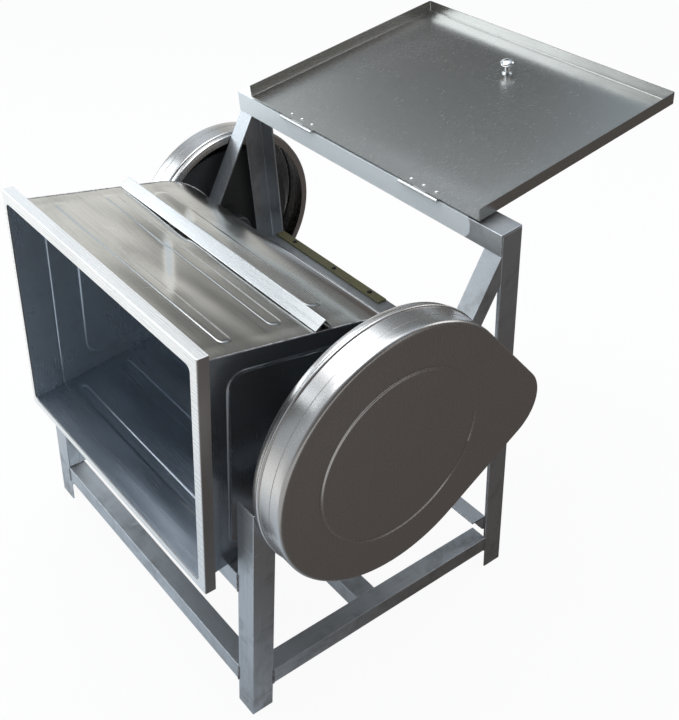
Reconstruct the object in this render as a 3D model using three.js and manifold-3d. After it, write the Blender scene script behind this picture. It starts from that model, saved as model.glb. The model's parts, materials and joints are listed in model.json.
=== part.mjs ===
// Horizontal dough mixer: a trough that tips forward on its mixing shaft, a gear and belt drive under
// two pan covers, and a tray-shaped lid, on a stand of angle iron.
// Millimetres. X runs along the shafts, Y to the back and Z up, from the middle of the floor under it.
// Its pieces are laid out from the front legs' faces and moved to that origin by one group.
// It is drawn with the trough tipped forward and the lid folded back.
import * as THREE from "three";
import { mergeVertices } from "three/addons/utils/BufferGeometryUtils.js";
import Module from "manifold-3d";

const wasm = await Module();
wasm.setup();

// ---------- driving dimensions ----------
const GAP = 0.3; // between pieces that touch
const RUNNING = 0.6; // between a shaft and what turns on it
const ROUND = 32; // sides of a shaft or a boss
const PULLEY_SIDES = 48;
const X_AXIS = new THREE.Vector3(1, 0, 0);
const Y_AXIS = new THREE.Vector3(0, 1, 0);
const Z_AXIS = new THREE.Vector3(0, 0, 1);

// Stand
const HALF_WIDTH = 332;
const DEPTH = 582;
const FRONT_LEG_HEIGHT = 450;
const LEG = 40; // leg angle iron, each leaf
const BAR = 34; // stretcher angle iron
const IRON = 3; // angle iron wall
const STRETCHER_TOP = 84;
const MIDDLE_BAR_Y = 245;
const STOP_BAR_TOP = 299;
const STOP_BAR = 38;
const LEAN = THREE.MathUtils.degToRad(7.5); // the back legs lean forward
const CROSSBAR_TOP = 766; // along the back legs
const CROSSBAR_FACE = 38;
const BRACE = { top: [445, 713], bottom: [321, FRONT_LEG_HEIGHT], inward: 35, rearward: 28 };
const STRIP = { from: -288, to: 24, width: 20, thickness: 3, setBack: 2 };
const STRIP_SCREWS = [-239, -116, -12];
const SCREW = { head: 2.2, topRadius: 2.6, footRadius: 4, sides: 12 };
const BELOW_FLOOR = 10; // the back legs are drawn this far past the floor and trimmed at it

// Shafts, gears and pulleys
const MIX_AXIS = { y: 203, z: 494 };
const MIX_SHAFT_RADIUS = 20;
const GEAR_MODULE = 4;
const LARGE_GEAR_TEETH = 90;
const PINION_TEETH = 18;
const GEAR_CENTRES = (GEAR_MODULE * (LARGE_GEAR_TEETH + PINION_TEETH)) / 2;
const COUNTER_DROP = 12;
const COUNTER_AXIS = {
  y: MIX_AXIS.y + Math.sqrt(GEAR_CENTRES ** 2 - COUNTER_DROP ** 2),
  z: MIX_AXIS.z - COUNTER_DROP,
};
const COUNTER_SHAFT_RADIUS = 12.5;
const GEAR_X = 352; // near face of the gears
const GEAR_FACE = 22;
const MOTOR_AXIS = { y: 390, z: 170 };
const MOTOR_SHAFT_RADIUS = 9.5;
const PULLEY_X = -385; // outer face of the pulleys
const PULLEY_WIDTH = 36;
const BIG_PULLEY_RADIUS = 150;
const MOTOR_PULLEY_RADIUS = 30;
const BELT = { width: 10, thickness: 8, spacing: 16 };
const GROOVE = { play: 0.4, flare: 1, under: 2 }; // round a belt in its pulley
const PULLEY_BOSS = 6; // how far a pulley's hub stands out of its inner face
const HUB_RADIUS = { largeGear: 42, pinion: 24, bigPulley: 32, motorPulley: 18 };
const GEAR_HUB = { behind: 8, ahead: 4 };
const GEAR_HOLES = { count: 6, at: 105, radius: 36, sides: 20 };
const PRESSURE_ANGLE = THREE.MathUtils.degToRad(20);
const TOOTH = { above: 0.95, below: 1.2, backlash: 0.5 }; // heights in modules, backlash in millimetres
const BEARING = { halfWidth: 15, foot: 11, neckInset: 2, neckWidth: 0.9 };
const MIX_BEARING = { halfLength: 58, ring: 36 };
const COUNTER_BEARING = { halfLength: 44, ring: 27 };

// Motor
const MOTOR = { from: -250, to: -20, radius: 68, shield: 14, shieldOut: 5 };
const MOTOR_FEET = { from: -200, to: -70, half: 62, thickness: 7, pedestalHalf: 42, pedestalTop: 130 };
const MOTOR_PLATE = { from: -215, to: -55, thickness: 5, inset: 4 };
const MOTOR_COWL = { out: 2, length: 46, wall: 1.5, inlet: 34 };
const MOTOR_FAN = { from: -12, to: 6, hub: 20, reach: 60, blade: 3, blades: 3 };
const TERMINAL_BOX = { from: -185, to: -95, half: 36, height: 40 };
const GLAND = { radius: 9, length: 12, height: 18, sides: 16 };

// Covers
const COVER_WALL = 1.5;
const COVER_ARC = 32; // steps along each arc of a cover
const BELT_ARC = 20; // and of a belt
const COVER_DEPTH = 62;
const COVER_BACK = HALF_WIDTH + 1.5;
const COVER_LIP = 14;
const COVER_BEAD = { out: 2.5, from: 10, width: 7 };
const RIGHT_COVER = { big: [215, MIX_AXIS.z], bigRadius: 219, small: [440, 470], smallRadius: 72 };
const LEFT_COVER = { big: [432, 487], bigRadius: 182, small: [MOTOR_AXIS.y, MOTOR_AXIS.z], smallRadius: 60 };

// Trough, in its own upright frame round the mixing shaft
const SHEET = 1.5;
const BOWL_RADIUS = 159;
const WALL_SPLAY = THREE.MathUtils.degToRad(9);
const RIM_HEIGHT = 256; // above the shaft
const RIM = { halfX: 284, back: 220, front: 212, depth: 19, wall: 2.5 };
const MOUTH = { left: -275.5, right: 266.5, halfY: 199.5 }; // the opening inside the rim
const END_PLATE_X = { right: 266, left: 275 }; // inner faces
const END_PLATE = 2;
const END_PLATE_PLAY = 1.5; // round the mixing shaft
const BOWL_ARC = 36; // steps round the bowl
const STIFFENER = { height: 35, leaf: 22, wall: 2 };
const HUB = { flange: 42, boss: 28, plate: 5, end: 290 };

// Agitator
const PADDLE_X = [-187, -62, 62, 187];
const PADDLE_LEAN = THREE.MathUtils.degToRad(-48); // where the first paddle points at rest
const PADDLE_RADIUS = 142;
const PADDLE_PITCH = THREE.MathUtils.degToRad(25);
const PADDLE_COLLAR = { radius: 30, half: 16, sides: 28 };
const PADDLE_ARM = { half: 13, thickness: 10, from: 24, to: 118 };
const PADDLE_BLADE = { length: 112, thickness: 7, width: 44, fromTip: 4 };

// Lid, in its own frame round the hinge pins
const LID_TILT = THREE.MathUtils.degToRad(10.5);
const LID = { halfX: 287.5, from: 3.4, to: 450, under: 2, sheet: 1.2, rim: 21, wall: 1.5 };
const HINGE_X = [-150, 158];
const HINGE = { length: 86, barrel: 3, pin: 1.5, bore: 1.65, leaf: 1.2, width: 25, play: 0.4, tail: 1.8 };
const HINGE_SIDES = 20;
const KNOB = { x: 8, y: 356, sides: 24 };
const KNOB_OUTLINE = [ // radius, height
  [0, 0], [9, 0], [9, 1.5], [5.5, 3], [4, 8], [4.2, 13],
  [9.5, 17], [11, 20.5], [10, 23.5], [5, 25.5], [0, 26],
];

// ---------- materials ----------
const metal = (color, roughness, metalness = 0.9) =>
  new THREE.MeshStandardMaterial({ color, roughness, metalness });
const ANGLE_STEEL = 0x8d99a3;
const SHEET_STEEL = 0xa9a9a4;
const COVER_STEEL = 0x97a0a5;
const MACHINED_STEEL = 0xb4b8bb;
const CAST_IRON = 0x55595c;
const MOTOR_PAINT = 0x4d5f6b;
const BELT_RUBBER = 0x1c1c1e;
const OLIVE_STRIP = 0x6a6648;
const CHROME = 0xd8dadc;

// ---------- solids ----------
function solidOf(geometry) {
  const bare = geometry.index ? geometry.toNonIndexed() : geometry.clone();
  bare.deleteAttribute("normal");
  bare.deleteAttribute("uv");
  const merged = mergeVertices(bare, 1e-4);
  return new wasm.Manifold(
    new wasm.Mesh({
      numProp: 3,
      vertProperties: merged.attributes.position.array,
      triVerts: new Uint32Array(merged.index.array),
    }),
  );
}

function geometryOf(solid) {
  const mesh = solid.getMesh();
  const shared = new THREE.BufferGeometry()
    .setAttribute("position", new THREE.BufferAttribute(mesh.vertProperties, 3))
    .setIndex(new THREE.BufferAttribute(mesh.triVerts, 1));
  const flat = shared.toNonIndexed();
  flat.computeVertexNormals();
  return flat;
}

const join = (...pieces) => geometryOf(wasm.Manifold.union(pieces.map(solidOf)));
const cut = (body, ...tools) =>
  geometryOf(solidOf(body).subtract(wasm.Manifold.union(tools.map(solidOf))));

// Keeps what lies on the side of the plane that its normal points to.
function trim(geometry, normal, point) {
  const offset = normal.dot(point);
  return geometryOf(solidOf(geometry).trimByPlane(normal.toArray(), offset));
}

function block([x0, y0, z0], [x1, y1, z1]) {
  return new THREE.BoxGeometry(x1 - x0, y1 - y0, z1 - z0).translate(
    (x0 + x1) / 2,
    (y0 + y1) / 2,
    (z0 + z1) / 2,
  );
}

// A shape drawn in (y, z), drawn out along X.
function extrudeX(shape, from, to, curveSegments = 24) {
  const turn = new THREE.Matrix4().makeBasis(Y_AXIS, Z_AXIS, X_AXIS).setPosition(from, 0, 0);
  const options = { depth: to - from, bevelEnabled: false, curveSegments };
  return new THREE.ExtrudeGeometry(shape, options).applyMatrix4(turn);
}

const ON_AXIS = { y: 0, z: 0 };
function rodX(radius, from, to, centre = ON_AXIS, sides = ROUND) {
  return new THREE.CylinderGeometry(radius, radius, to - from, sides)
    .rotateZ(-Math.PI / 2)
    .translate((from + to) / 2, centre.y, centre.z);
}

// A profile of [x, radius] points turned round the X axis.
function turnedX(profile, sides = ROUND) {
  const points = profile.map(([x, radius]) => new THREE.Vector2(radius, x));
  return new THREE.LatheGeometry(points, sides).rotateZ(-Math.PI / 2);
}

// Angle iron. Its outside corner runs along `along` from `start`; its two leaves point along a and b.
function angleIron({ start, along, length, a, b, leafA, leafB, wall = IRON }) {
  const swapped = new THREE.Vector3().crossVectors(a, b).dot(along) < 0;
  const [u, v, widthU, widthV] = swapped ? [b, a, leafB, leafA] : [a, b, leafA, leafB];
  const corners = [[0, 0], [widthU, 0], [widthU, wall], [wall, wall], [wall, widthV], [0, widthV]];
  const section = new THREE.Shape(corners.map(([p, q]) => new THREE.Vector2(p, q)));
  const place = new THREE.Matrix4().makeBasis(u, v, along).setPosition(...start);
  return new THREE.ExtrudeGeometry(section, { depth: length, bevelEnabled: false }).applyMatrix4(place);
}

const along = (x, y, z) => new THREE.Vector3(x, y, z).normalize();

// The outline round two circles and their common tangents, in (y, z), grown by `grow`.
function twoCircleOutline({ big, bigRadius, small, smallRadius }, grow = 0) {
  const heading = Math.atan2(small[1] - big[1], small[0] - big[0]);
  const distance = Math.hypot(small[0] - big[0], small[1] - big[1]);
  const tangent = Math.acos((bigRadius - smallRadius) / distance);
  const outline = new THREE.Shape();
  const [upper, lower] = [heading + tangent, heading - tangent];
  outline.absarc(...big, bigRadius + grow, upper, lower + 2 * Math.PI, false);
  outline.absarc(...small, smallRadius + grow, lower, upper, false);
  outline.closePath();
  return outline;
}

// ---------- scene graph ----------
const assembly = new THREE.Group();
const mixer = new THREE.Group(); // laid out from the front legs' faces
assembly.add(mixer);
function add(parent, name, geometry, material) {
  const mesh = new THREE.Mesh(geometry, material);
  mesh.name = name;
  parent.add(mesh);
}

const SIDES = [
  { side: "right", sign: 1 },
  { side: "left", sign: -1 },
];

// ---------- stand ----------
// The back legs' frame: it stands on the floor at their back and leans forward with them.
const rearFrame = new THREE.Group();
rearFrame.position.set(0, DEPTH, 0);
rearFrame.rotation.x = LEAN;
mixer.add(rearFrame);

const LEG_UP = along(0, -Math.sin(LEAN), Math.cos(LEAN));
const LEG_FORWARD = along(0, -Math.cos(LEAN), -Math.sin(LEAN));
const LEG_FOOT = new THREE.Vector3(0, DEPTH, 0);
const rearLegFront = (z) => DEPTH - LEG / Math.cos(LEAN) - z * Math.tan(LEAN);
const rearLegBack = (z) => DEPTH - z * Math.tan(LEAN);
const CROSSBAR_Y = -LEG - IRON - GAP; // in the back legs' frame

function buildLegs() {
  for (const { side, sign } of SIDES) {
    const inward = along(-sign, 0, 0);
    const frontLeg = angleIron({
      start: [sign * HALF_WIDTH, 0, 0],
      along: Z_AXIS,
      length: FRONT_LEG_HEIGHT,
      a: inward,
      b: Y_AXIS,
      leafA: LEG,
      leafB: LEG,
    });
    add(mixer, `front_leg_${side}`, frontLeg, metal(ANGLE_STEEL, 0.4));
    const rearLeg = angleIron({
      start: [sign * HALF_WIDTH, DEPTH + BELOW_FLOOR * Math.tan(LEAN), -BELOW_FLOOR],
      along: LEG_UP,
      length: CROSSBAR_TOP - IRON - GAP + BELOW_FLOOR / Math.cos(LEAN),
      a: inward,
      b: LEG_FORWARD,
      leafA: LEG,
      leafB: LEG,
    });
    const standing = trim(rearLeg, Z_AXIS, new THREE.Vector3());
    add(mixer, `rear_leg_${side}`, standing, metal(ANGLE_STEEL, 0.4));
  }
}

// A bar between two legs along X, with one leaf level at its top and the other hanging down.
function crossBar(halfLength, y, top, levelLeaf, hangingLeaf, toBack) {
  return angleIron({
    start: [-halfLength, y, top],
    along: X_AXIS,
    length: 2 * halfLength,
    a: along(0, toBack, 0),
    b: along(0, 0, -1),
    leafA: levelLeaf,
    leafB: hangingLeaf,
  });
}

// A bar from a front leg to a back leg, with one leaf level at its top and the other at the stand's side.
function sideBar(sign, top, leaf) {
  const from = LEG + GAP;
  return angleIron({
    start: [sign * HALF_WIDTH, from, top],
    along: Y_AXIS,
    length: rearLegFront(top) - GAP - from,
    a: along(-sign, 0, 0),
    b: along(0, 0, -1),
    leafA: leaf,
    leafB: leaf,
  });
}

function buildBars() {
  const betweenLegs = HALF_WIDTH - LEG - GAP;
  const betweenStretchers = HALF_WIDTH - BAR - GAP;
  const supportBarY = rearLegBack(FRONT_LEG_HEIGHT);
  const bars = {
    front_stretcher: crossBar(betweenLegs, 0, STRETCHER_TOP, BAR, BAR, 1),
    rear_stretcher: crossBar(betweenLegs, rearLegBack(STRETCHER_TOP), STRETCHER_TOP, BAR, BAR, -1),
    motor_crossmember: crossBar(betweenStretchers, MIDDLE_BAR_Y, STRETCHER_TOP, LEG, BAR, 1),
    trough_stop_bar: crossBar(betweenLegs, 0, STOP_BAR_TOP, BAR, STOP_BAR, 1),
    rear_support_bar: crossBar(betweenLegs, supportBarY, FRONT_LEG_HEIGHT, LEG, STOP_BAR, -1),
  };
  for (const { side, sign } of SIDES) {
    bars[`${side}_stretcher`] = sideBar(sign, STRETCHER_TOP, BAR);
    bars[`${side}_shaft_rail`] = sideBar(sign, FRONT_LEG_HEIGHT, LEG);
  }
  for (const [name, bar] of Object.entries(bars)) add(mixer, name, bar, metal(ANGLE_STEEL, 0.4));

  const crossbar = angleIron({
    start: [-HALF_WIDTH, CROSSBAR_Y, CROSSBAR_TOP],
    along: X_AXIS,
    length: 2 * HALF_WIDTH,
    a: Y_AXIS,
    b: along(0, 0, -1),
    leafA: -CROSSBAR_Y,
    leafB: CROSSBAR_FACE,
  });
  add(rearFrame, "top_crossbar", crossbar, metal(ANGLE_STEEL, 0.38));
}

function buildBraces() {
  const [topY, topZ] = BRACE.top;
  const [bottomY, bottomZ] = BRACE.bottom;
  const up = along(0, topY - bottomY, topZ - bottomZ);
  const overrun = 30;
  for (const { side, sign } of SIDES) {
    let brace = angleIron({
      start: [sign * HALF_WIDTH, bottomY - overrun * up.y, bottomZ - overrun * up.z],
      along: up,
      length: Math.hypot(topY - bottomY, topZ - bottomZ) + 2 * overrun,
      a: along(-sign, 0, 0),
      b: along(0, up.z, -up.y),
      leafA: BRACE.inward,
      leafB: BRACE.rearward,
    });
    const legFace = LEG_FOOT.clone().addScaledVector(LEG_FORWARD, LEG + GAP);
    const underCrossbar = LEG_FOOT.clone().addScaledVector(LEG_UP, CROSSBAR_TOP - CROSSBAR_FACE - GAP);
    brace = trim(brace, Z_AXIS, new THREE.Vector3(0, 0, bottomZ + GAP));
    brace = trim(brace, LEG_FORWARD, legFace);
    brace = trim(brace, LEG_UP.clone().negate(), underCrossbar);
    add(mixer, `${side}_brace`, brace, metal(ANGLE_STEEL, 0.4));
  }
}

function buildBufferStrip() {
  const back = rearLegBack(FRONT_LEG_HEIGHT) - STRIP.setBack;
  const bottom = FRONT_LEG_HEIGHT + GAP;
  const strip = block([STRIP.from, back - STRIP.width, bottom], [STRIP.to, back, bottom + STRIP.thickness]);
  add(mixer, "buffer_strip", strip, metal(OLIVE_STRIP, 0.7, 0));
  STRIP_SCREWS.forEach((x, i) => {
    const head = new THREE.CylinderGeometry(SCREW.topRadius, SCREW.footRadius, SCREW.head, SCREW.sides)
      .rotateX(Math.PI / 2)
      .translate(x, back - STRIP.width / 2, bottom + STRIP.thickness + GAP + SCREW.head / 2);
    add(mixer, `strip_screw_${i + 1}`, head, metal(CAST_IRON, 0.45));
  });
}

// ---------- bearings ----------
function pillowBlock({ y, z }, shaftRadius, { halfLength, ring }, sign) {
  const bottom = FRONT_LEG_HEIGHT + GAP;
  const centreX = sign * (HALF_WIDTH - LEG / 2);
  const [footFrom, footTo] = [centreX - BEARING.halfWidth, centreX + BEARING.halfWidth];
  const [ringFrom, ringTo] = [footFrom + BEARING.neckInset, footTo - BEARING.neckInset];
  const neckHalf = ring * BEARING.neckWidth;
  const foot = block([footFrom, y - halfLength, bottom], [footTo, y + halfLength, bottom + BEARING.foot]);
  const neck = block([ringFrom, y - neckHalf, bottom], [ringTo, y + neckHalf, z]);
  const housing = rodX(ring, ringFrom, ringTo, { y, z });
  const bore = rodX(shaftRadius + RUNNING, footFrom - 1, footTo + 1, { y, z });
  return cut(join(foot, neck, housing), bore);
}

function buildBearings() {
  for (const { side, sign } of SIDES) {
    const mixBlock = pillowBlock(MIX_AXIS, MIX_SHAFT_RADIUS, MIX_BEARING, sign);
    const counterBlock = pillowBlock(COUNTER_AXIS, COUNTER_SHAFT_RADIUS, COUNTER_BEARING, sign);
    add(mixer, `mixing_shaft_bearing_${side}`, mixBlock, metal(CAST_IRON, 0.6));
    add(mixer, `countershaft_bearing_${side}`, counterBlock, metal(CAST_IRON, 0.6));
  }
}

// ---------- covers ----------
// A pan with its open side to the stand, a lip turned in round that side and a rolled bead on its band.
function panCover(outline, sign) {
  const back = COVER_BACK;
  const front = back + COVER_DEPTH;
  const beadFrom = back + COVER_BEAD.from;
  const slab = (grow, from, to) => extrudeX(twoCircleOutline(outline, grow), from, to, COVER_ARC);
  const shell = join(
    slab(0, back, front),
    slab(COVER_BEAD.out, beadFrom, beadFrom + COVER_BEAD.width),
  );
  const hollow = slab(-COVER_WALL, back + COVER_WALL, front - COVER_WALL);
  const mouth = slab(-COVER_LIP, back - 1, back + COVER_WALL + 1);
  const pan = cut(shell, hollow, mouth);
  return sign > 0 ? pan : mirrored(pan);
}

// The same solid on the other side of X 0.
function mirrored(geometry) {
  return geometryOf(solidOf(geometry).mirror([1, 0, 0]));
}

function buildCovers() {
  add(mixer, "gear_cover", panCover(RIGHT_COVER, 1), metal(COVER_STEEL, 0.3));
  add(mixer, "belt_cover", panCover(LEFT_COVER, -1), metal(COVER_STEEL, 0.3));
}

// ---------- gears and shafts ----------
// An involute gear outline in (y, z) round the origin, with a tooth centred on angle `phase`.
function gearOutline(teeth, phase) {
  const pitch = (GEAR_MODULE * teeth) / 2;
  const base = pitch * Math.cos(PRESSURE_ANGLE);
  const tip = pitch + TOOTH.above * GEAR_MODULE;
  const root = pitch - TOOTH.below * GEAR_MODULE;
  const backlash = TOOTH.backlash / pitch; // taken off each tooth, as an angle
  const involute = (radius) => {
    const pressure = Math.acos(Math.min(1, base / radius));
    return Math.tan(pressure) - pressure;
  };
  const halfTooth = Math.PI / (2 * teeth) - backlash / 2 + involute(pitch);
  const flank = [root, Math.max(base, root + 0.5), pitch, tip];
  const offset = (radius) => halfTooth - involute(Math.max(radius, base));
  const points = [];
  for (let i = 0; i < teeth; i++) {
    const middle = phase + (2 * Math.PI * i) / teeth;
    const rising = flank.map((radius) => [radius, middle - offset(radius)]);
    const falling = flank.map((radius) => [radius, middle + offset(radius)]).reverse();
    points.push(...rising, ...falling);
  }
  return new THREE.Shape(
    points.map(([radius, angle]) => new THREE.Vector2(radius * Math.cos(angle), radius * Math.sin(angle))),
  );
}

function gear(teeth, phase, bore, hubRadius, holes) {
  const far = GEAR_X + GEAR_FACE;
  const blank = extrudeX(gearOutline(teeth, phase), GEAR_X, far);
  const hub = rodX(hubRadius, GEAR_X - GEAR_HUB.behind, far + GEAR_HUB.ahead);
  const cuts = [rodX(bore + GAP, GEAR_X - GEAR_FACE, far + GEAR_FACE)];
  for (let i = 0; i < holes; i++) {
    const angle = (2 * Math.PI * (i + 0.5)) / holes;
    const centre = { y: GEAR_HOLES.at * Math.cos(angle), z: GEAR_HOLES.at * Math.sin(angle) };
    cuts.push(rodX(GEAR_HOLES.radius, GEAR_X - 1, far + 1, centre, GEAR_HOLES.sides));
  }
  return cut(join(blank, hub), ...cuts);
}

// Radial arm, collar and pitched blade of one paddle; it points along local Z.
function paddle(x) {
  const { radius, half, sides } = PADDLE_COLLAR;
  const { length, thickness, width, fromTip } = PADDLE_BLADE;
  const collar = rodX(radius, x - half, x + half, ON_AXIS, sides);
  const arm = block(
    [x - PADDLE_ARM.half, -PADDLE_ARM.thickness / 2, PADDLE_ARM.from],
    [x + PADDLE_ARM.half, PADDLE_ARM.thickness / 2, PADDLE_ARM.to],
  );
  const blade = new THREE.BoxGeometry(length, thickness, width)
    .rotateZ(PADDLE_PITCH)
    .translate(x, 0, PADDLE_RADIUS - width / 2 - fromTip);
  const bore = rodX(MIX_SHAFT_RADIUS + GAP, x - half - 1, x + half + 1);
  return cut(join(collar, arm, blade), bore);
}

const agitator = new THREE.Group();
agitator.position.set(0, MIX_AXIS.y, MIX_AXIS.z);
const countershaft = new THREE.Group();
countershaft.position.set(0, COUNTER_AXIS.y, COUNTER_AXIS.z);
const motorRotor = new THREE.Group();
motorRotor.position.set(0, MOTOR_AXIS.y, MOTOR_AXIS.z);
mixer.add(agitator, countershaft, motorRotor);

function buildAgitator() {
  const shaft = rodX(MIX_SHAFT_RADIUS, -HALF_WIDTH + 2, GEAR_X + GEAR_FACE + 12);
  add(agitator, "mixing_shaft", shaft, metal(MACHINED_STEEL, 0.25));
  const mesh = Math.atan2(COUNTER_AXIS.z - MIX_AXIS.z, COUNTER_AXIS.y - MIX_AXIS.y);
  const largeGear = gear(LARGE_GEAR_TEETH, mesh, MIX_SHAFT_RADIUS, HUB_RADIUS.largeGear, GEAR_HOLES.count);
  add(agitator, "large_gear", largeGear, metal(CAST_IRON, 0.5));
  PADDLE_X.forEach((x, i) => {
    const turn = PADDLE_LEAN - Math.PI / 2 + i * Math.PI;
    add(agitator, `paddle_${i + 1}`, paddle(x).rotateX(turn), metal(MACHINED_STEEL, 0.3));
  });
}

// A belt pulley with two grooves, turned round X, with its outer face at PULLEY_X.
function pulley(radius, bore, hubRadius) {
  const root = radius - BELT.thickness - GROOVE.under;
  const halfRoot = BELT.width / 2 + GROOVE.play;
  const halfTop = halfRoot + GROOVE.flare;
  const profile = [[PULLEY_X, bore], [PULLEY_X, radius]];
  for (const centre of beltCentres()) {
    profile.push([centre - halfTop, radius], [centre - halfRoot, root]);
    profile.push([centre + halfRoot, root], [centre + halfTop, radius]);
  }
  const face = PULLEY_X + PULLEY_WIDTH;
  const end = face + PULLEY_BOSS;
  profile.push([face, radius], [face, hubRadius], [end, hubRadius], [end, bore], [PULLEY_X, bore]);
  return turnedX(profile, PULLEY_SIDES);
}

function beltCentres() {
  const middle = PULLEY_X + PULLEY_WIDTH / 2;
  return [middle - BELT.spacing / 2, middle + BELT.spacing / 2];
}

function buildCountershaft() {
  const shaft = rodX(COUNTER_SHAFT_RADIUS, PULLEY_X - 3, GEAR_X + GEAR_FACE + 6);
  add(countershaft, "countershaft", shaft, metal(MACHINED_STEEL, 0.25));
  const towardLarge = Math.atan2(MIX_AXIS.z - COUNTER_AXIS.z, MIX_AXIS.y - COUNTER_AXIS.y);
  const gapPhase = towardLarge + Math.PI / PINION_TEETH; // a gap faces the large gear's tooth
  const pinion = gear(PINION_TEETH, gapPhase, COUNTER_SHAFT_RADIUS, HUB_RADIUS.pinion, 0);
  add(countershaft, "pinion", pinion, metal(CAST_IRON, 0.45));
  const bigPulley = pulley(BIG_PULLEY_RADIUS, COUNTER_SHAFT_RADIUS + GAP, HUB_RADIUS.bigPulley);
  add(countershaft, "big_pulley", bigPulley, metal(CAST_IRON, 0.5));
}

function buildMotorRotor() {
  const { from, to, hub, reach, blade, blades } = MOTOR_FAN;
  const shaft = rodX(MOTOR_SHAFT_RADIUS, PULLEY_X - 2, to + 6);
  add(motorRotor, "motor_shaft", shaft, metal(MACHINED_STEEL, 0.25));
  const motorPulley = pulley(MOTOR_PULLEY_RADIUS, MOTOR_SHAFT_RADIUS + GAP, HUB_RADIUS.motorPulley);
  add(motorRotor, "motor_pulley", motorPulley, metal(CAST_IRON, 0.5));

  const pieces = [rodX(hub, from - 2, to + 2)];
  for (let i = 0; i < blades; i++) {
    const acrossHub = block([from, -reach, -blade / 2], [to, reach, blade / 2]);
    pieces.push(acrossHub.rotateX((i * Math.PI) / blades));
  }
  const bore = rodX(MOTOR_SHAFT_RADIUS + GAP, from - 5, to + 5);
  add(motorRotor, "motor_fan", cut(join(...pieces), bore), metal(BELT_RUBBER, 0.6, 0));
}

function buildBelts() {
  const centres = { big: [COUNTER_AXIS.y, COUNTER_AXIS.z], small: [MOTOR_AXIS.y, MOTOR_AXIS.z] };
  const inset = BELT.thickness + 1;
  const loop = { ...centres, bigRadius: BIG_PULLEY_RADIUS, smallRadius: MOTOR_PULLEY_RADIUS };
  beltCentres().forEach((x, i) => {
    const from = x - BELT.width / 2;
    const to = from + BELT.width;
    const outside = extrudeX(twoCircleOutline(loop, -1), from, to, BELT_ARC);
    const inside = extrudeX(twoCircleOutline(loop, -inset), from - 1, to + 1, BELT_ARC);
    add(mixer, `drive_belt_${i + 1}`, cut(outside, inside), metal(BELT_RUBBER, 0.85, 0));
  });
}

// ---------- motor ----------
function buildMotor() {
  const plateBottom = STRETCHER_TOP + GAP;
  const plateTop = plateBottom + MOTOR_PLATE.thickness;
  const plateFront = MIDDLE_BAR_Y + MOTOR_PLATE.inset;
  const plateBack = rearLegBack(STRETCHER_TOP) - MOTOR_PLATE.inset;
  const plate = block([MOTOR_PLATE.from, plateFront, plateBottom], [MOTOR_PLATE.to, plateBack, plateTop]);
  add(mixer, "motor_plate", plate, metal(ANGLE_STEEL, 0.5));
  add(mixer, "motor_body", motorBody(plateTop + GAP), metal(MOTOR_PAINT, 0.5, 0.3));
  add(mixer, "motor_fan_cover", motorCowl(), metal(MOTOR_PAINT, 0.5, 0.3));
  add(mixer, "terminal_box", terminalBox(), metal(MOTOR_PAINT, 0.55, 0.2));
}

function motorBody(bottom) {
  const { from, to, radius, shield, shieldOut } = MOTOR;
  const { half, thickness, pedestalHalf, pedestalTop } = MOTOR_FEET;
  const barrel = rodX(radius, from + shield, to, MOTOR_AXIS);
  const endShield = rodX(radius + shieldOut, from, from + shield, MOTOR_AXIS);
  const feet = block(
    [MOTOR_FEET.from, MOTOR_AXIS.y - half, bottom],
    [MOTOR_FEET.to, MOTOR_AXIS.y + half, bottom + thickness],
  );
  const pedestal = block(
    [MOTOR_FEET.from, MOTOR_AXIS.y - pedestalHalf, bottom],
    [MOTOR_FEET.to, MOTOR_AXIS.y + pedestalHalf, pedestalTop],
  );
  const bore = rodX(MOTOR_SHAFT_RADIUS + RUNNING, from - 1, to + 1, MOTOR_AXIS);
  return cut(join(barrel, endShield, feet, pedestal), bore);
}

function motorCowl() {
  const radius = MOTOR.radius + MOTOR_COWL.out;
  const { length, wall, inlet } = MOTOR_COWL;
  const end = MOTOR.to + length;
  const outside = rodX(radius, MOTOR.to + GAP, end, MOTOR_AXIS);
  const hollow = rodX(radius - wall, MOTOR.to - 1, end - wall, MOTOR_AXIS);
  return cut(outside, hollow, rodX(inlet, MOTOR.to, end + 1, MOTOR_AXIS));
}

function terminalBox() {
  const { from, to, half, height } = TERMINAL_BOX;
  const bottom = MOTOR_AXIS.z + MOTOR.radius + GAP;
  const box = block([from, MOTOR_AXIS.y - half, bottom], [to, MOTOR_AXIS.y + half, bottom + height]);
  const glandCentre = { y: MOTOR_AXIS.y, z: bottom + GLAND.height };
  const gland = rodX(GLAND.radius, to - 1, to + GLAND.length, glandCentre, GLAND.sides);
  return join(box, gland);
}

// ---------- trough ----------
// Upright in its own frame: the opening faces local Z and the back wall is on the local Y side.
const trough = new THREE.Group();
trough.position.set(0, MIX_AXIS.y, MIX_AXIS.z);
trough.rotation.x = Math.PI / 2;
mixer.add(trough);

const WALL_TOP = RIM_HEIGHT - RIM.wall - GAP;
const wallOut = (height) => BOWL_RADIUS / Math.cos(WALL_SPLAY) + height * Math.tan(WALL_SPLAY);

// The U of the trough, from its left top corner round the bowl to its right one, inset from the outside.
function wallPath(path, inset, reverse = false) {
  const left = Math.PI + WALL_SPLAY;
  const right = 2 * Math.PI - WALL_SPLAY;
  const edge = wallOut(WALL_TOP) - inset / Math.cos(WALL_SPLAY);
  const [start, end] = reverse ? [edge, -edge] : [-edge, edge];
  path.lineTo(start, WALL_TOP);
  path.absarc(0, 0, BOWL_RADIUS - inset, reverse ? right : left, reverse ? left : right, reverse);
  path.lineTo(end, WALL_TOP);
}

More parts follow.
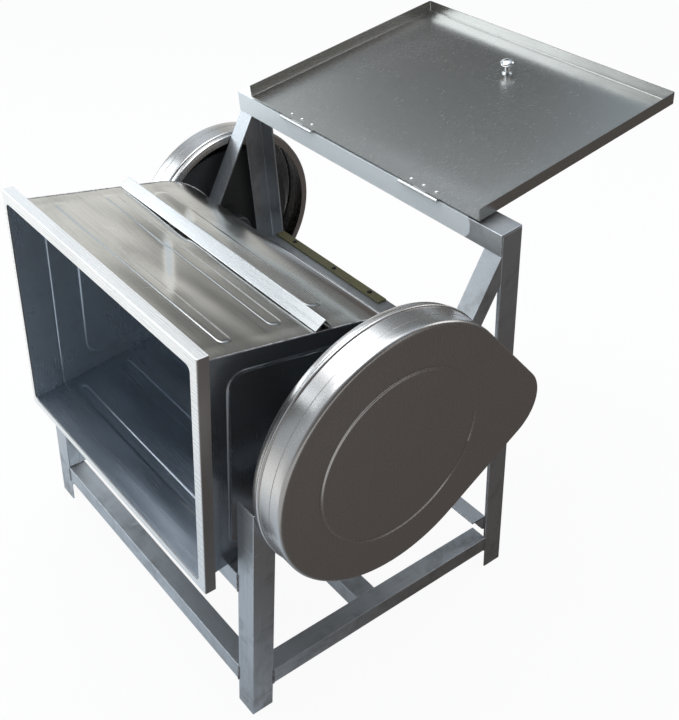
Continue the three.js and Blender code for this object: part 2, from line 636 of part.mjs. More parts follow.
function buildTroughBody() {
  const section = new THREE.Shape();
  section.moveTo(-wallOut(WALL_TOP), WALL_TOP);
  wallPath(section, 0);
  wallPath(section, SHEET, true);
  const wrapper = extrudeX(section, -END_PLATE_X.left + GAP, END_PLATE_X.right - GAP, BOWL_ARC);
  add(trough, "trough_wrapper", wrapper, metal(SHEET_STEEL, 0.3));

  const plate = new THREE.Shape();
  plate.moveTo(-wallOut(WALL_TOP), WALL_TOP);
  wallPath(plate, 0);
  for (const { side, sign } of SIDES) {
    const near = sign > 0 ? END_PLATE_X.right : -END_PLATE_X.left - END_PLATE;
    const disc = extrudeX(plate, near, near + END_PLATE, BOWL_ARC);
    const bore = rodX(MIX_SHAFT_RADIUS + END_PLATE_PLAY, near - 1, near + END_PLATE + 1);
    add(trough, `trough_end_${side}`, cut(disc, bore), metal(SHEET_STEEL, 0.3));
  }
}

function buildTroughFittings() {
  const bottom = RIM_HEIGHT - RIM.depth;
  const skirtX = RIM.halfX - RIM.wall;
  const rim = cut(
    block([-RIM.halfX, -RIM.front, bottom], [RIM.halfX, RIM.back, RIM_HEIGHT]),
    block([MOUTH.left, -MOUTH.halfY, bottom - 1], [MOUTH.right, MOUTH.halfY, RIM_HEIGHT + 1]),
    block([-skirtX, RIM.wall - RIM.front, bottom - 1], [skirtX, RIM.back - RIM.wall, RIM_HEIGHT - RIM.wall]),
  );
  add(trough, "trough_rim", rim, metal(SHEET_STEEL, 0.25));

  const outward = along(0, Math.cos(WALL_SPLAY), -Math.sin(WALL_SPLAY));
  const upward = along(0, Math.sin(WALL_SPLAY), Math.cos(WALL_SPLAY));
  const rise = (STIFFENER.leaf + STIFFENER.wall) / Math.SQRT2 + GAP;
  const ridge = new THREE.Vector3(-END_PLATE_X.left, wallOut(STIFFENER.height), STIFFENER.height);
  ridge.addScaledVector(outward, rise);
  const stiffener = angleIron({
    start: ridge.toArray(),
    along: X_AXIS,
    length: END_PLATE_X.left + END_PLATE_X.right,
    a: upward.clone().sub(outward).normalize(),
    b: upward.clone().add(outward).normalize().negate(),
    leafA: STIFFENER.leaf,
    leafB: STIFFENER.leaf,
    wall: STIFFENER.wall,
  });
  add(trough, "trough_stiffener", stiffener, metal(MACHINED_STEEL, 0.35));

  for (const { side, sign } of SIDES) {
    const inner = END_PLATE_X[side] + END_PLATE + GAP;
    const hub = cut(
      join(rodX(HUB.flange, inner, inner + HUB.plate), rodX(HUB.boss, inner, HUB.end)),
      rodX(MIX_SHAFT_RADIUS + RUNNING, inner - 1, HUB.end + 1),
    );
    add(trough, `trough_hub_${side}`, sign > 0 ? hub : mirrored(hub), metal(MACHINED_STEEL, 0.4));
  }
}

// ---------- lid and hinges ----------
const PIN_ABOVE_LEAF = 0.1;
const LID_LEAF_RISE = 0.5;
const PIN_HEIGHT = CROSSBAR_TOP + HINGE.leaf + GAP + PIN_ABOVE_LEAF;
const PIN = new THREE.Vector3(0, CROSSBAR_Y - HINGE.barrel - GAP, PIN_HEIGHT);
const pinInWorld = PIN.clone().applyAxisAngle(X_AXIS, LEAN).add(rearFrame.position);
const lid = new THREE.Group();
lid.position.copy(pinInWorld);
lid.rotation.x = LID_TILT;
mixer.add(lid);

const frameHinge = new THREE.Group();
frameHinge.position.copy(PIN);
rearFrame.add(frameHinge);

// One leaf of a butt hinge: its plate and its share of the barrel round the pin, which lies on the X axis.
function hingeLeaf(centreX, knuckles, plateBottom) {
  const half = HINGE.length / 2;
  const clear = HINGE.barrel + HINGE.play;
  const top = plateBottom + HINGE.leaf;
  const pieces = [block([centreX - half, clear, plateBottom], [centreX + half, HINGE.width, top])];
  const bores = [];
  for (const [from, to] of knuckles) {
    const [x0, x1] = [centreX + from, centreX + to];
    pieces.push(rodX(HINGE.barrel, x0, x1, ON_AXIS, HINGE_SIDES));
    pieces.push(block([x0, HINGE.tail, plateBottom], [x1, clear + 1, top]));
    bores.push(rodX(HINGE.bore, x0 - 1, x1 + 1, ON_AXIS, HINGE_SIDES));
  }
  return cut(join(...pieces), ...bores);
}

function buildHinges() {
  const half = HINGE.length / 2;
  const third = HINGE.length / 6;
  const outer = third + HINGE.play;
  HINGE_X.forEach((x, i) => {
    const name = ["left", "right"][i];
    const outerKnuckles = [[-half, -outer], [outer, half]];
    const frameLeaf = hingeLeaf(x, outerKnuckles, -HINGE.leaf - PIN_ABOVE_LEAF);
    add(frameHinge, `hinge_frame_leaf_${name}`, frameLeaf, metal(MACHINED_STEEL, 0.35));
    const lidLeaf = hingeLeaf(x, [[-third, third]], LID_LEAF_RISE);
    add(lid, `hinge_lid_leaf_${name}`, lidLeaf, metal(MACHINED_STEEL, 0.35));
    const pin = rodX(HINGE.pin, x - half - 0.5, x + half + 0.5, ON_AXIS, HINGE_SIDES);
    add(frameHinge, `hinge_pin_${name}`, pin, metal(MACHINED_STEEL, 0.3));
  });
}

function buildLid() {
  const { halfX, from, to, under, sheet, rim, wall } = LID;
  const top = under + sheet + rim;
  const tray = cut(
    block([-halfX, from, under], [halfX, to, top]),
    block([-halfX + wall, from - 1, under + sheet], [halfX - wall, to - wall, top + 1]),
  );
  add(lid, "lid_tray", tray, metal(SHEET_STEEL, 0.3));

  const floor = under + sheet + GAP;
  const knob = new THREE.LatheGeometry(KNOB_OUTLINE.map(([r, h]) => new THREE.Vector2(r, h)), KNOB.sides)
    .rotateX(Math.PI / 2)
    .translate(KNOB.x, KNOB.y, floor);
  add(lid, "lid_knob", knob, metal(CHROME, 0.12));
}

// ---------- the whole mixer ----------
buildLegs();
buildBars();
buildBraces();
buildBufferStrip();
buildBearings();
buildCovers();
buildAgitator();
buildCountershaft();
buildMotorRotor();
buildBelts();
buildMotor();
buildTroughBody();
buildTroughFittings();
buildHinges();
buildLid();

// The origin is under the middle of the mixer's length, from the tipped trough's rim to the lid's far edge.
const rimFront = MIX_AXIS.y - RIM_HEIGHT;
const lidBack = pinInWorld.y + LID.to * Math.cos(LID_TILT) - LID.under * Math.sin(LID_TILT);
mixer.position.y = -(rimFront + lidBack) / 2;

export default assembly;
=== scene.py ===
import json
import math

import bmesh
import bpy
import numpy as np
from mathutils import Matrix, Vector, noise

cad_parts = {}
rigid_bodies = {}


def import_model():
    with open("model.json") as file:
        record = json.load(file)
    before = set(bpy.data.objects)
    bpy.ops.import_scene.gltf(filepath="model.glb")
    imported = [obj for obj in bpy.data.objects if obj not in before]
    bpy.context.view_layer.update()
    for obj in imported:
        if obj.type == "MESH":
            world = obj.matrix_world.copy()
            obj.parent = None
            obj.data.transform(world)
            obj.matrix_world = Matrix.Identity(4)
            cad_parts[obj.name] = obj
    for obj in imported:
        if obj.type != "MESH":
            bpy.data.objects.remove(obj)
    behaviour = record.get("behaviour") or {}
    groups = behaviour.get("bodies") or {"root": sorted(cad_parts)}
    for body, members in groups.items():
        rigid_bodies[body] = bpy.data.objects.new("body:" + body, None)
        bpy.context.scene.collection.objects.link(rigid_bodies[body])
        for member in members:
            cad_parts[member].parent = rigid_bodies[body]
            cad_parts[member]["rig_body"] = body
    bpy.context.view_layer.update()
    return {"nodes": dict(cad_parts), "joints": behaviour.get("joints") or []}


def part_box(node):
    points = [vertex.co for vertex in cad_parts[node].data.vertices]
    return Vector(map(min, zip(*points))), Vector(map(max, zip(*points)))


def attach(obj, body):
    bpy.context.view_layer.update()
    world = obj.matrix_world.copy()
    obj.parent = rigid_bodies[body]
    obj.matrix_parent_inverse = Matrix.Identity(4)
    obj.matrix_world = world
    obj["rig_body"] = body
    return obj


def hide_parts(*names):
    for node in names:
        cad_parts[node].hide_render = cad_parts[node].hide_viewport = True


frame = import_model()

# A horizontal dough mixer: sheet steel trough, covers and lid on a welded angle-iron stand.
# Metres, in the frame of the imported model, with the trough tipped forward and the lid folded back.

MM = 0.001


# ---------- places and sizes ----------
def joint_point(name):
    found = next(j for j in frame["joints"] if j["name"] == name)
    return Vector(found["pos_m"])


def low(node):
    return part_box(node)[0]


def high(node):
    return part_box(node)[1]


MIX = joint_point("agitator_spin")
MOTOR = joint_point("motor_spin")
HINGE_PIN = joint_point("lid_fold")

FRONT = low("front_leg_right").y  # the front legs' faces
SIDE = high("front_leg_right").x  # the stand's right side
LEG = 40 * MM
IRON = 3 * MM
LEAN = math.radians(7.5)  # of the back legs
LID_TILT = math.radians(10.5)
SIDES = (("right", 1), ("left", -1))

BOWL_RADIUS = 159 * MM
SPLAY = math.radians(9)  # of the trough's walls
SHEET = 1.5 * MM
TROUGH_TOP = MIX.y - low("trough_wrapper").y  # how far the walls reach from the shaft
WRAPPER_ENDS = (low("trough_wrapper").x, high("trough_wrapper").x)
BOWL_END = -BOWL_RADIUS * math.sin(SPLAY)  # where the bowl meets its walls


# ---------- node graphs ----------
class Graph:
    """Adds nodes to one node tree, and links or sets their inputs as they are made."""

    def __init__(self, tree):
        self.tree = tree

    def node(self, kind, inputs=None, **settings):
        made = self.tree.nodes.new(kind)
        for key, value in settings.items():
            setattr(made, key, value)
        for key, value in (inputs or {}).items():
            self.feed(made.inputs[key], value)
        return made

    def feed(self, socket, value):
        if isinstance(value, bpy.types.NodeSocket):
            self.tree.links.new(value, socket)
        else:
            socket.default_value = value

    def math(self, operation, a, b=0.0, c=0.0):
        return self.node("ShaderNodeMath", {0: a, 1: b, 2: c}, operation=operation).outputs[0]

    def mix(self, factor, a, b):
        """A colour between a and b."""
        node = self.node("ShaderNodeMix", data_type="RGBA")
        self.feed(node.inputs[0], factor)
        self.feed(node.inputs[6], a)
        self.feed(node.inputs[7], b)
        return node.outputs[2]

    def scaled(self, vector, by):
        return self.node("ShaderNodeVectorMath", {0: vector, 1: by}, operation="MULTIPLY").outputs[0]

    def noise(self, vector, scale, detail=2.0, roughness=0.5, distortion=0.0):
        inputs = {"Vector": vector, "Scale": scale, "Detail": detail, "Roughness": roughness}
        inputs["Distortion"] = distortion
        return self.node("ShaderNodeTexNoise", inputs).outputs[0]

    def ramp(self, value, start, end, low_end=0.0, high_end=1.0):
        inputs = {"Value": value, "From Min": start, "From Max": end, "To Min": low_end, "To Max": high_end}
        return self.node("ShaderNodeMapRange", inputs, interpolation_type="SMOOTHSTEP").outputs[0]

    def place(self, group, inputs=None):
        """Puts a node group in the tree and returns its outputs."""
        node = self.tree.nodes.new(self.tree.bl_idname.replace("NodeTree", "NodeGroup"))
        node.node_tree = group
        for key, value in (inputs or {}).items():
            self.feed(node.inputs[key], value)
        return node.outputs


def new_group(name, kind, inputs, outputs, build):
    """A node group with named sockets; build(graph, inputs, outputs) fills it."""
    tree = bpy.data.node_groups.new(name, kind)
    for title, socket_type, value in inputs:
        socket = tree.interface.new_socket(title, in_out="INPUT", socket_type=socket_type)
        if value is not None:
            socket.default_value = value
    for title, socket_type in outputs:
        tree.interface.new_socket(title, in_out="OUTPUT", socket_type=socket_type)
    start = tree.nodes.new("NodeGroupInput")
    end = tree.nodes.new("NodeGroupOutput")
    build(Graph(tree), start.outputs, end.inputs)
    return tree


# ---------- surface effects ----------
def fill_brushed_grain(g, given, out):
    stretched = g.scaled(given["Vector"], given["Along"])
    fine = g.noise(stretched, 1.0, 5.0, 0.75)
    g.feed(out["Grain"], g.ramp(fine, 0.3, 0.7))


def fill_handling_marks(g, given, out):
    broad = g.noise(given["Vector"], given["Scale"], 4.0, 0.6, 0.6)
    patches = g.ramp(broad, 0.46, 0.68)
    speckle = g.noise(given["Vector"], 90.0, 3.0, 0.6)
    g.feed(out["Marks"], g.math("MULTIPLY", patches, g.ramp(speckle, 0.3, 0.75, 0.45, 1.0)))


def fill_scratches(g, given, out):
    total = 0.0
    for turn, stretch in ((0.35, (14.0, 420.0, 420.0)), (1.25, (380.0, 16.0, 16.0))):
        rotation = (turn, turn * 0.7, turn)
        turned = g.node("ShaderNodeMapping", {"Vector": given["Vector"], "Rotation": rotation})
        lines = g.noise(g.scaled(turned.outputs[0], stretch), 1.0, 1.0, 0.4)
        total = g.math("ADD", total, g.ramp(lines, 0.73, 0.8))
    patchy = g.ramp(g.noise(given["Vector"], 7.0), 0.42, 0.62)
    amount = g.math("MULTIPLY", g.math("MULTIPLY", total, patchy), given["Amount"])
    g.feed(out["Scratches"], g.math("MINIMUM", amount, 1.0))


def fill_edge_wear(g, given, out):
    edge = g.node("ShaderNodeAttribute", attribute_name="edge").outputs["Fac"]
    broken = g.ramp(g.noise(given["Vector"], 120.0, 3.0, 0.6), 0.35, 0.6, 0.35, 1.0)
    g.feed(out["Wear"], g.math("MULTIPLY", g.math("MULTIPLY", edge, broken), given["Amount"]))


def fill_floor_dust(g, given, out):
    height = g.node("ShaderNodeSeparateXYZ", {0: given["Vector"]}).outputs[2]
    near_floor = g.ramp(height, 0.0, given["Reach"], 1.0, 0.0)
    clumps = g.ramp(g.noise(given["Vector"], 45.0, 4.0, 0.65), 0.35, 0.7)
    g.feed(out["Dust"], g.math("MULTIPLY", near_floor, clumps))


VECTOR_IN = ("Vector", "NodeSocketVector", None)


def effect(name, extra_inputs, output, build):
    inputs = [VECTOR_IN] + extra_inputs
    return new_group(name, "ShaderNodeTree", inputs, [(output, "NodeSocketFloat")], build)


GRAIN = effect(
    "brushed grain", [("Along", "NodeSocketVector", (10.0, 700.0, 700.0))], "Grain", fill_brushed_grain,
)
MARKS = effect("handling marks", [("Scale", "NodeSocketFloat", 6.0)], "Marks", fill_handling_marks)
SCRATCHES = effect("scratches", [("Amount", "NodeSocketFloat", 1.0)], "Scratches", fill_scratches)
WEAR = effect("edge wear", [("Amount", "NodeSocketFloat", 1.0)], "Wear", fill_edge_wear)
DUST = effect("floor dust", [("Reach", "NodeSocketFloat", 0.12)], "Dust", fill_floor_dust)


# ---------- materials ----------
def new_material(name):
    material = bpy.data.materials.new(name)
    material.use_nodes = True
    tree = material.node_tree
    tree.nodes.clear()
    g = Graph(tree)
    shader = g.node("ShaderNodeBsdfPrincipled")
    output = g.node("ShaderNodeOutputMaterial")
    tree.links.new(shader.outputs[0], output.inputs["Surface"])
    place = g.node("ShaderNodeTexCoord").outputs["Object"]
    return material, g, shader, place


def steel(name, clean, dull, roughness, along, grain=0.08, relief=0.03, streaks=0.15, marks=0.3,
          mark_scale=5.0, scratches=0.5, ripple=0.0, dust=0.0, metallic=1.0):
    """Bare sheet or bar: brushed along one way, handled, scratched, and bright where its edges are worn."""
    material, g, shader, place = new_material(name)
    grain_out = g.place(GRAIN, {"Vector": place, "Along": along})["Grain"]
    marks_out = g.place(MARKS, {"Vector": place, "Scale": mark_scale})["Marks"]
    scratch_out = g.place(SCRATCHES, {"Vector": place, "Amount": scratches})["Scratches"]
    wear_out = g.place(WEAR, {"Vector": place, "Amount": 0.8})["Wear"]
    dust_out = g.place(DUST, {"Vector": place})["Dust"]

    tone = g.math("MULTIPLY_ADD", grain_out, streaks, g.math("MULTIPLY", marks_out, marks))
    colour = g.mix(g.math("MINIMUM", tone, 1.0), (*clean, 1.0), (*dull, 1.0))
    bright = [min(1.0, c * 1.25) for c in clean]
    colour = g.mix(g.math("MAXIMUM", wear_out, scratch_out), colour, (*bright, 1.0))
    colour = g.mix(g.math("MULTIPLY", dust_out, dust), colour, (0.33, 0.31, 0.28, 1.0))
    g.feed(shader.inputs["Base Color"], colour)

    rough = g.math("MULTIPLY_ADD", grain_out, grain, roughness - grain / 2)
    rough = g.math("MULTIPLY_ADD", marks_out, 0.1 * marks, rough)
    rough = g.math("MULTIPLY_ADD", dust_out, 0.4 * dust, rough)
    g.feed(shader.inputs["Roughness"], rough)
    shader.inputs["Metallic"].default_value = metallic

    bump = g.node("ShaderNodeBump", {"Height": grain_out, "Strength": relief, "Distance": 0.2 * MM})
    bump = g.node("ShaderNodeBump", {"Height": scratch_out, "Strength": 0.12, "Distance": -0.2 * MM,
                                     "Normal": bump.outputs[0]})
    if ripple:
        waves = g.noise(place, 7.0, 1.0, 0.4)
        bump = g.node("ShaderNodeBump", {"Height": waves, "Strength": ripple, "Distance": 10 * MM,
                                         "Normal": bump.outputs[0]})
    g.feed(shader.inputs["Normal"], bump.outputs[0])
    return material


def coated(name, body, worn, roughness, speckle_scale, relief, marks=0.5, wear=0.8, metallic=0.0, dust=0.3):
    """Paint, rubber, plastic or cast iron: an even coat with a fine texture, worn through at its edges."""
    material, g, shader, place = new_material(name)
    speckle = g.noise(place, speckle_scale, 4.0, 0.65)
    marks_out = g.place(MARKS, {"Vector": place, "Scale": 9.0})["Marks"]
    wear_out = g.place(WEAR, {"Vector": place, "Amount": wear})["Wear"]
    dust_out = g.place(DUST, {"Vector": place, "Reach": 0.3})["Dust"]
    darker = [c * 0.6 for c in body]
    colour = g.mix(g.math("MULTIPLY", g.ramp(speckle, 0.3, 0.7), 0.5), (*body, 1.0), (*darker, 1.0))
    colour = g.mix(g.math("MULTIPLY", marks_out, marks), colour, (*[c * 1.3 for c in body], 1.0))
    colour = g.mix(wear_out, colour, (*worn, 1.0))
    colour = g.mix(g.math("MULTIPLY", dust_out, dust), colour, (0.4, 0.38, 0.35, 1.0))
    g.feed(shader.inputs["Base Color"], colour)
    g.feed(shader.inputs["Roughness"], g.math("MULTIPLY_ADD", marks_out, 0.15, roughness))
    g.feed(shader.inputs["Metallic"], g.math("MULTIPLY_ADD", wear_out, (1.0 - metallic) * 0.8, metallic))
    bump = g.node("ShaderNodeBump", {"Height": speckle, "Strength": relief, "Distance": 0.4 * MM})
    g.feed(shader.inputs["Normal"], bump.outputs[0])
    return material


ALONG_X = (7.0, 620.0, 620.0)
ALONG_Y = (620.0, 7.0, 620.0)
ALONG_Z = (620.0, 620.0, 7.0)
STAINLESS = (0.64, 0.64, 0.62)
STAINLESS_DULL = (0.38, 0.38, 0.37)
IRON_CLEAN = (0.55, 0.575, 0.6)
IRON_DULL = (0.3, 0.31, 0.325)
FILM = (0.9, 0.96, 0.99)
FILM_END = 268 * MM  # the crossbar's pale film stops here
FILM_FLAT = 5 * MM  # half the height of its end that is straight
FILM_CORNER = 14 * MM


def film_on_crossbar():
    """The crossbar's material, paler where its protective film is still on."""
    material = bar_steel("crossbar steel", ALONG_X)
    g = Graph(material.node_tree)
    shader = next(n for n in g.tree.nodes if n.type == "BSDF_PRINCIPLED")
    under = shader.inputs["Base Color"].links[0].from_socket
    place = g.node("ShaderNodeTexCoord").outputs["Object"]
    parts = g.node("ShaderNodeSeparateXYZ", {0: place}).outputs
    middle = (low("top_crossbar").z + high("top_crossbar").z) / 2
    off_middle = g.math("ABSOLUTE", g.math("SUBTRACT", parts[2], middle))
    past_corner = g.math("MAXIMUM", g.math("SUBTRACT", off_middle, FILM_FLAT), 0.0)
    rounded = g.math("MULTIPLY", past_corner, past_corner)
    reach = g.math("MULTIPLY_ADD", rounded, 0.6 / FILM_CORNER, parts[0])
    bare = g.ramp(reach, FILM_END - 0.7 * MM, FILM_END)
    g.feed(shader.inputs["Base Color"], g.mix(bare, (*FILM, 1.0), under))
    g.feed(shader.inputs["Metallic"], g.math("MULTIPLY_ADD", bare, 0.8, 0.05))
    return material


def bar_steel(name, along):
    return steel(name, IRON_CLEAN, IRON_DULL, 0.36, along, grain=0.16, relief=0.08, streaks=0.3, marks=0.7,
                 mark_scale=11.0, scratches=0.8, dust=0.6, metallic=0.82)


LOOK = {
    "iron_upright": bar_steel("iron upright", ALONG_Z),
    "iron_crosswise": bar_steel("iron crosswise", ALONG_X),
    "iron_lengthwise": bar_steel("iron lengthwise", ALONG_Y),
    "crossbar": film_on_crossbar(),
    "cover_sheet": steel(
        "cover sheet", (0.6, 0.59, 0.58), (0.44, 0.42, 0.41), 0.27, ALONG_Z, grain=0.04, relief=0.008,
        streaks=0.08, marks=0.2, mark_scale=3.5, scratches=0.2, ripple=0.04,
    ),
    "trough_sheet": steel(
        "trough sheet", STAINLESS, STAINLESS_DULL, 0.19, ALONG_X, marks=0.4, scratches=0.7, ripple=0.08,
    ),
    # The trough's inner face: the same stainless as its outside, painted darker and bluer as shade inside
    # the trough.
    "trough_inside_shade": steel(
        "trough inside", (0.48, 0.52, 0.57), (0.3, 0.325, 0.35), 0.24, ALONG_X, streaks=0.1, mark_scale=9.0,
        ripple=0.06,
    ),
    # The end plates are one steel in two tones: the right, darker, is painted shade under the gear cover;
    # the left, lighter and bluer, is painted light on its inner face.
    "shaded_end_sheet": steel(
        "end sheet", (0.33, 0.355, 0.39), (0.24, 0.26, 0.285), 0.25, ALONG_Z, grain=0.04, relief=0.008,
        streaks=0.06, scratches=0.25, ripple=0.05, metallic=0.88,
    ),
    "lit_end_sheet": steel(
        "left end sheet", (0.66, 0.74, 0.82), (0.46, 0.52, 0.58), 0.27, ALONG_Z, grain=0.01, relief=0.0,
        streaks=0.02, marks=0.5, scratches=0.1, ripple=0.05, metallic=0.8,
    ),
    # The rim is one steel in two copies: a very light one for the faces turned forward, up and down
    # (painted light), and a dark one for the faces turned to the sides (painted shade).
    "rim_steel": steel(
        "rim steel", (0.9, 0.9, 0.89), (0.66, 0.66, 0.65), 0.27, ALONG_X, grain=0.08, streaks=0.12,
        mark_scale=9.0, metallic=0.55,
    ),
    "rim_shaded_side": steel(
        "rim skirt", (0.36, 0.34, 0.33), (0.25, 0.235, 0.225), 0.33, ALONG_Z, grain=0.06, relief=0.01,
        streaks=0.1, mark_scale=12.0, metallic=0.9,
    ),
    "lid_sheet": steel(
        "lid sheet", (0.57, 0.57, 0.55), (0.45, 0.45, 0.44), 0.25, ALONG_Y, grain=0.05, relief=0.01,
        streaks=0.08, marks=0.15, mark_scale=2.5, scratches=0.0,
    ),
    "bright_steel": steel(
        "bright steel", (0.7, 0.71, 0.71), (0.5, 0.51, 0.52), 0.28, ALONG_X, grain=0.1, mark_scale=9.0,
    ),
    "weld": steel(
        "weld metal", (0.42, 0.42, 0.43), (0.18, 0.165, 0.155), 0.42, (90.0, 90.0, 90.0), grain=0.25,
        relief=0.25, streaks=0.4, marks=0.9, mark_scale=60.0, scratches=0.0,
    ),
    "chrome": steel(
        "chrome", (0.85, 0.86, 0.87), (0.7, 0.7, 0.71), 0.06, ALONG_Z, grain=0.02, relief=0.01,
        streaks=0.05, marks=0.1, mark_scale=20.0, scratches=0.1,
    ),
    "strip": coated("olive strip", (0.16, 0.15, 0.075), (0.3, 0.29, 0.2), 0.6, 400.0, 0.3, 0.6, 0.5),
    "rubber": coated("belt rubber", (0.02, 0.02, 0.021), (0.05, 0.05, 0.05), 0.75, 500.0, 0.35, 0.4, 0.3),
    "cast_iron": coated(
        "cast iron", (0.11, 0.115, 0.12), (0.35, 0.34, 0.33), 0.55, 350.0, 0.5, marks=0.5, wear=0.7,
        metallic=0.6,
    ),
    "motor_paint": coated("motor paint", (0.06, 0.1, 0.14), (0.3, 0.3, 0.3), 0.42, 260.0, 0.15, 0.5, 0.7),
    "fan_plastic": coated(
        "fan plastic", (0.03, 0.03, 0.032), (0.08, 0.08, 0.08), 0.55, 300.0, 0.2, marks=0.4, wear=0.2,
    ),
    "dark_screw": coated(
        "blackened screw", (0.035, 0.035, 0.037), (0.3, 0.3, 0.3), 0.4, 300.0, 0.1, marks=0.3, wear=0.7,
        metallic=0.7,
    ),
}


# ---------- meshes ----------
def new_object(name, mesh):
    made = bpy.data.objects.new(name, mesh)
    bpy.context.scene.collection.objects.link(made)
    return made


def grid_faces(rows, columns, ring=False):
    """Quads over rows × columns points; ring joins the last column to the first."""
    faces = []
    for i in range(rows - 1):
        for j in range(columns if ring else columns - 1):
            k = (j + 1) % columns
            faces.append((i * columns + j, i * columns + k, (i + 1) * columns + k, (i + 1) * columns + j))
    return faces


def sheet_from(name, points, ring=False, pole=None):
    """A surface over an array of points (rows, columns, 3); pole closes its last row to one point."""
    rows, columns = points.shape[:2]
    vertices = [tuple(p) for p in points.reshape(-1, 3)]
    faces = grid_faces(rows, columns, ring)
    if pole is not None:
        vertices.append(tuple(pole))
        last = (rows - 1) * columns
        faces += [(last + j, last + (j + 1) % columns, len(vertices) - 1) for j in range(columns)]
    mesh = bpy.data.meshes.new(name)
    mesh.from_pydata(vertices, [], faces)
    return new_object(name, mesh)


def face_outwards(piece, towards):
    """Turns every face the same way, so that those at the far end along `towards` point along it."""
    bm = bmesh.new()
    bm.from_mesh(piece.data)
    bmesh.ops.remove_doubles(bm, verts=bm.verts, dist=0.01 * MM)
    bmesh.ops.recalc_face_normals(bm, faces=bm.faces)
    direction = Vector(towards)
    ordered = sorted(bm.faces, key=lambda f: f.calc_center_median().dot(direction))
    farthest = ordered[-max(1, len(ordered) // 10):]
    if sum(f.normal.dot(direction) * f.calc_area() for f in farthest) < 0:
        bmesh.ops.reverse_faces(bm, faces=bm.faces)
    bm.to_mesh(piece.data)
    bm.free()


def smooth_shaded(mesh, angle=35):
    mesh.polygons.foreach_set("use_smooth", [True] * len(mesh.polygons))
    mesh.set_sharp_from_angle(angle=math.radians(angle))


def bake_modifiers(piece):
    """Makes what the modifiers do the piece's own mesh."""
    graph = bpy.context.evaluated_depsgraph_get()
    graph.update()
    mesh = bpy.data.meshes.new_from_object(piece.evaluated_get(graph), depsgraph=graph)
    piece.modifiers.clear()
    piece.data = mesh


def thicken(piece, thickness, offset=-1.0, inside=0):
    """Gives a sheet its wall; inside is how many materials further on its inner face's is."""
    wall = piece.modifiers.new("wall", "SOLIDIFY")
    wall.thickness = thickness
    wall.material_offset = inside
    wall.offset = offset
    wall.use_even_offset = True


def weigh_normals(piece):
    weighted = piece.modifiers.new("normals", "WEIGHTED_NORMAL")
    weighted.keep_sharp = True


def settle(piece, material, body, slot, *stands_for):
    """Bakes a finished piece, gives it its material and ties it to its body."""
    bake_modifiers(piece)
    if material is not None:
        piece.data.materials.clear()
        piece.data.materials.append(LOOK[material])
    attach(piece, body)
    if stands_for:
        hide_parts(*stands_for)
    return piece


def body_of(node):
    return frame["nodes"][node]["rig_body"]


def rounded_copy(node, material, slot, radius, segments=2, name=None):
    """The frame's piece again with every sharp edge rounded, as rolled, folded or cast metal has."""
    bm = bmesh.new()
    bm.from_mesh(frame["nodes"][node].data)
    bmesh.ops.remove_doubles(bm, verts=bm.verts, dist=0.02 * MM)
    bmesh.ops.dissolve_limit(bm, angle_limit=math.radians(1), verts=bm.verts, edges=bm.edges)
    edge_layer = bm.faces.layers.float.new("edge")
    sharp = [e for e in bm.edges if e.is_manifold and e.calc_face_angle(0.0) > math.radians(30)]
    made = bmesh.ops.bevel(
        bm, geom=sharp, offset=radius, segments=segments, profile=0.5, affect="EDGES", clamp_overlap=True,
    )
    for face in made["faces"]:
        face[edge_layer] = 1.0
    mesh = bpy.data.meshes.new(name or node + "_finished")
    bm.to_mesh(mesh)
    bm.free()
    piece = new_object(mesh.name, mesh)
    smooth_shaded(mesh, 50)
    weigh_normals(piece)
    return settle(piece, material, body_of(node), slot, node)


def smoothstep(value):
    t = np.clip(value, 0.0, 1.0)
    return t * t * (3 - 2 * t)


def hammered(points, stretch, seed):
    """One smooth noise value from -1 to 1 for each point; stretch is how fast it changes each way."""
    flat = points.reshape(-1, 3) * np.array(stretch) + seed
    return np.array([noise.noise(Vector(p)) for p in flat]).reshape(points.shape[:2])


# ---------- repeated pieces by Geometry Nodes ----------
def random_vector(g, smallest, largest, seed):
    inputs = {"Min": smallest, "Max": largest, "Seed": seed}
    return g.node("FunctionNodeRandomValue", inputs, data_type="FLOAT_VECTOR").outputs[0]


def facing_along(g, direction):
    return g.node("FunctionNodeAlignRotationToVector", {"Vector": direction}, axis="Z").outputs[0]


def realized_on(g, points, instance, rotation, scale):
    inputs = {"Points": points, "Instance": instance, "Rotation": rotation, "Scale": scale}
    placed = g.node("GeometryNodeInstanceOnPoints", inputs).outputs[0]
    return g.node("GeometryNodeRealizeInstances", {0: placed}).outputs[0]


def give_material(g, given, out, solid):
    made = g.node("GeometryNodeSetMaterial", {0: solid, "Material": given["Material"]})
    g.feed(out["Geometry"], made.outputs[0])


def fill_fasteners(g, given, out):
    turn = facing_along(g, given["Facing"])
    spin = random_vector(g, (0.0, 0.0, 0.0), (0.0, 0.0, math.tau), given["Seed"])
    inputs = {"Rotation": turn, "Rotate By": spin}
    turned = g.node("FunctionNodeRotateRotation", inputs, rotation_space="LOCAL").outputs[0]
    head = g.node("GeometryNodeObjectInfo", {"Object": given["Head"]}).outputs["Geometry"]
    radius = given["Radius"]
    size = g.node("ShaderNodeCombineXYZ", {0: radius, 1: radius, 2: given["Height"]}).outputs[0]
    give_material(g, given, out, realized_on(g, given["Geometry"], head, turned, size))


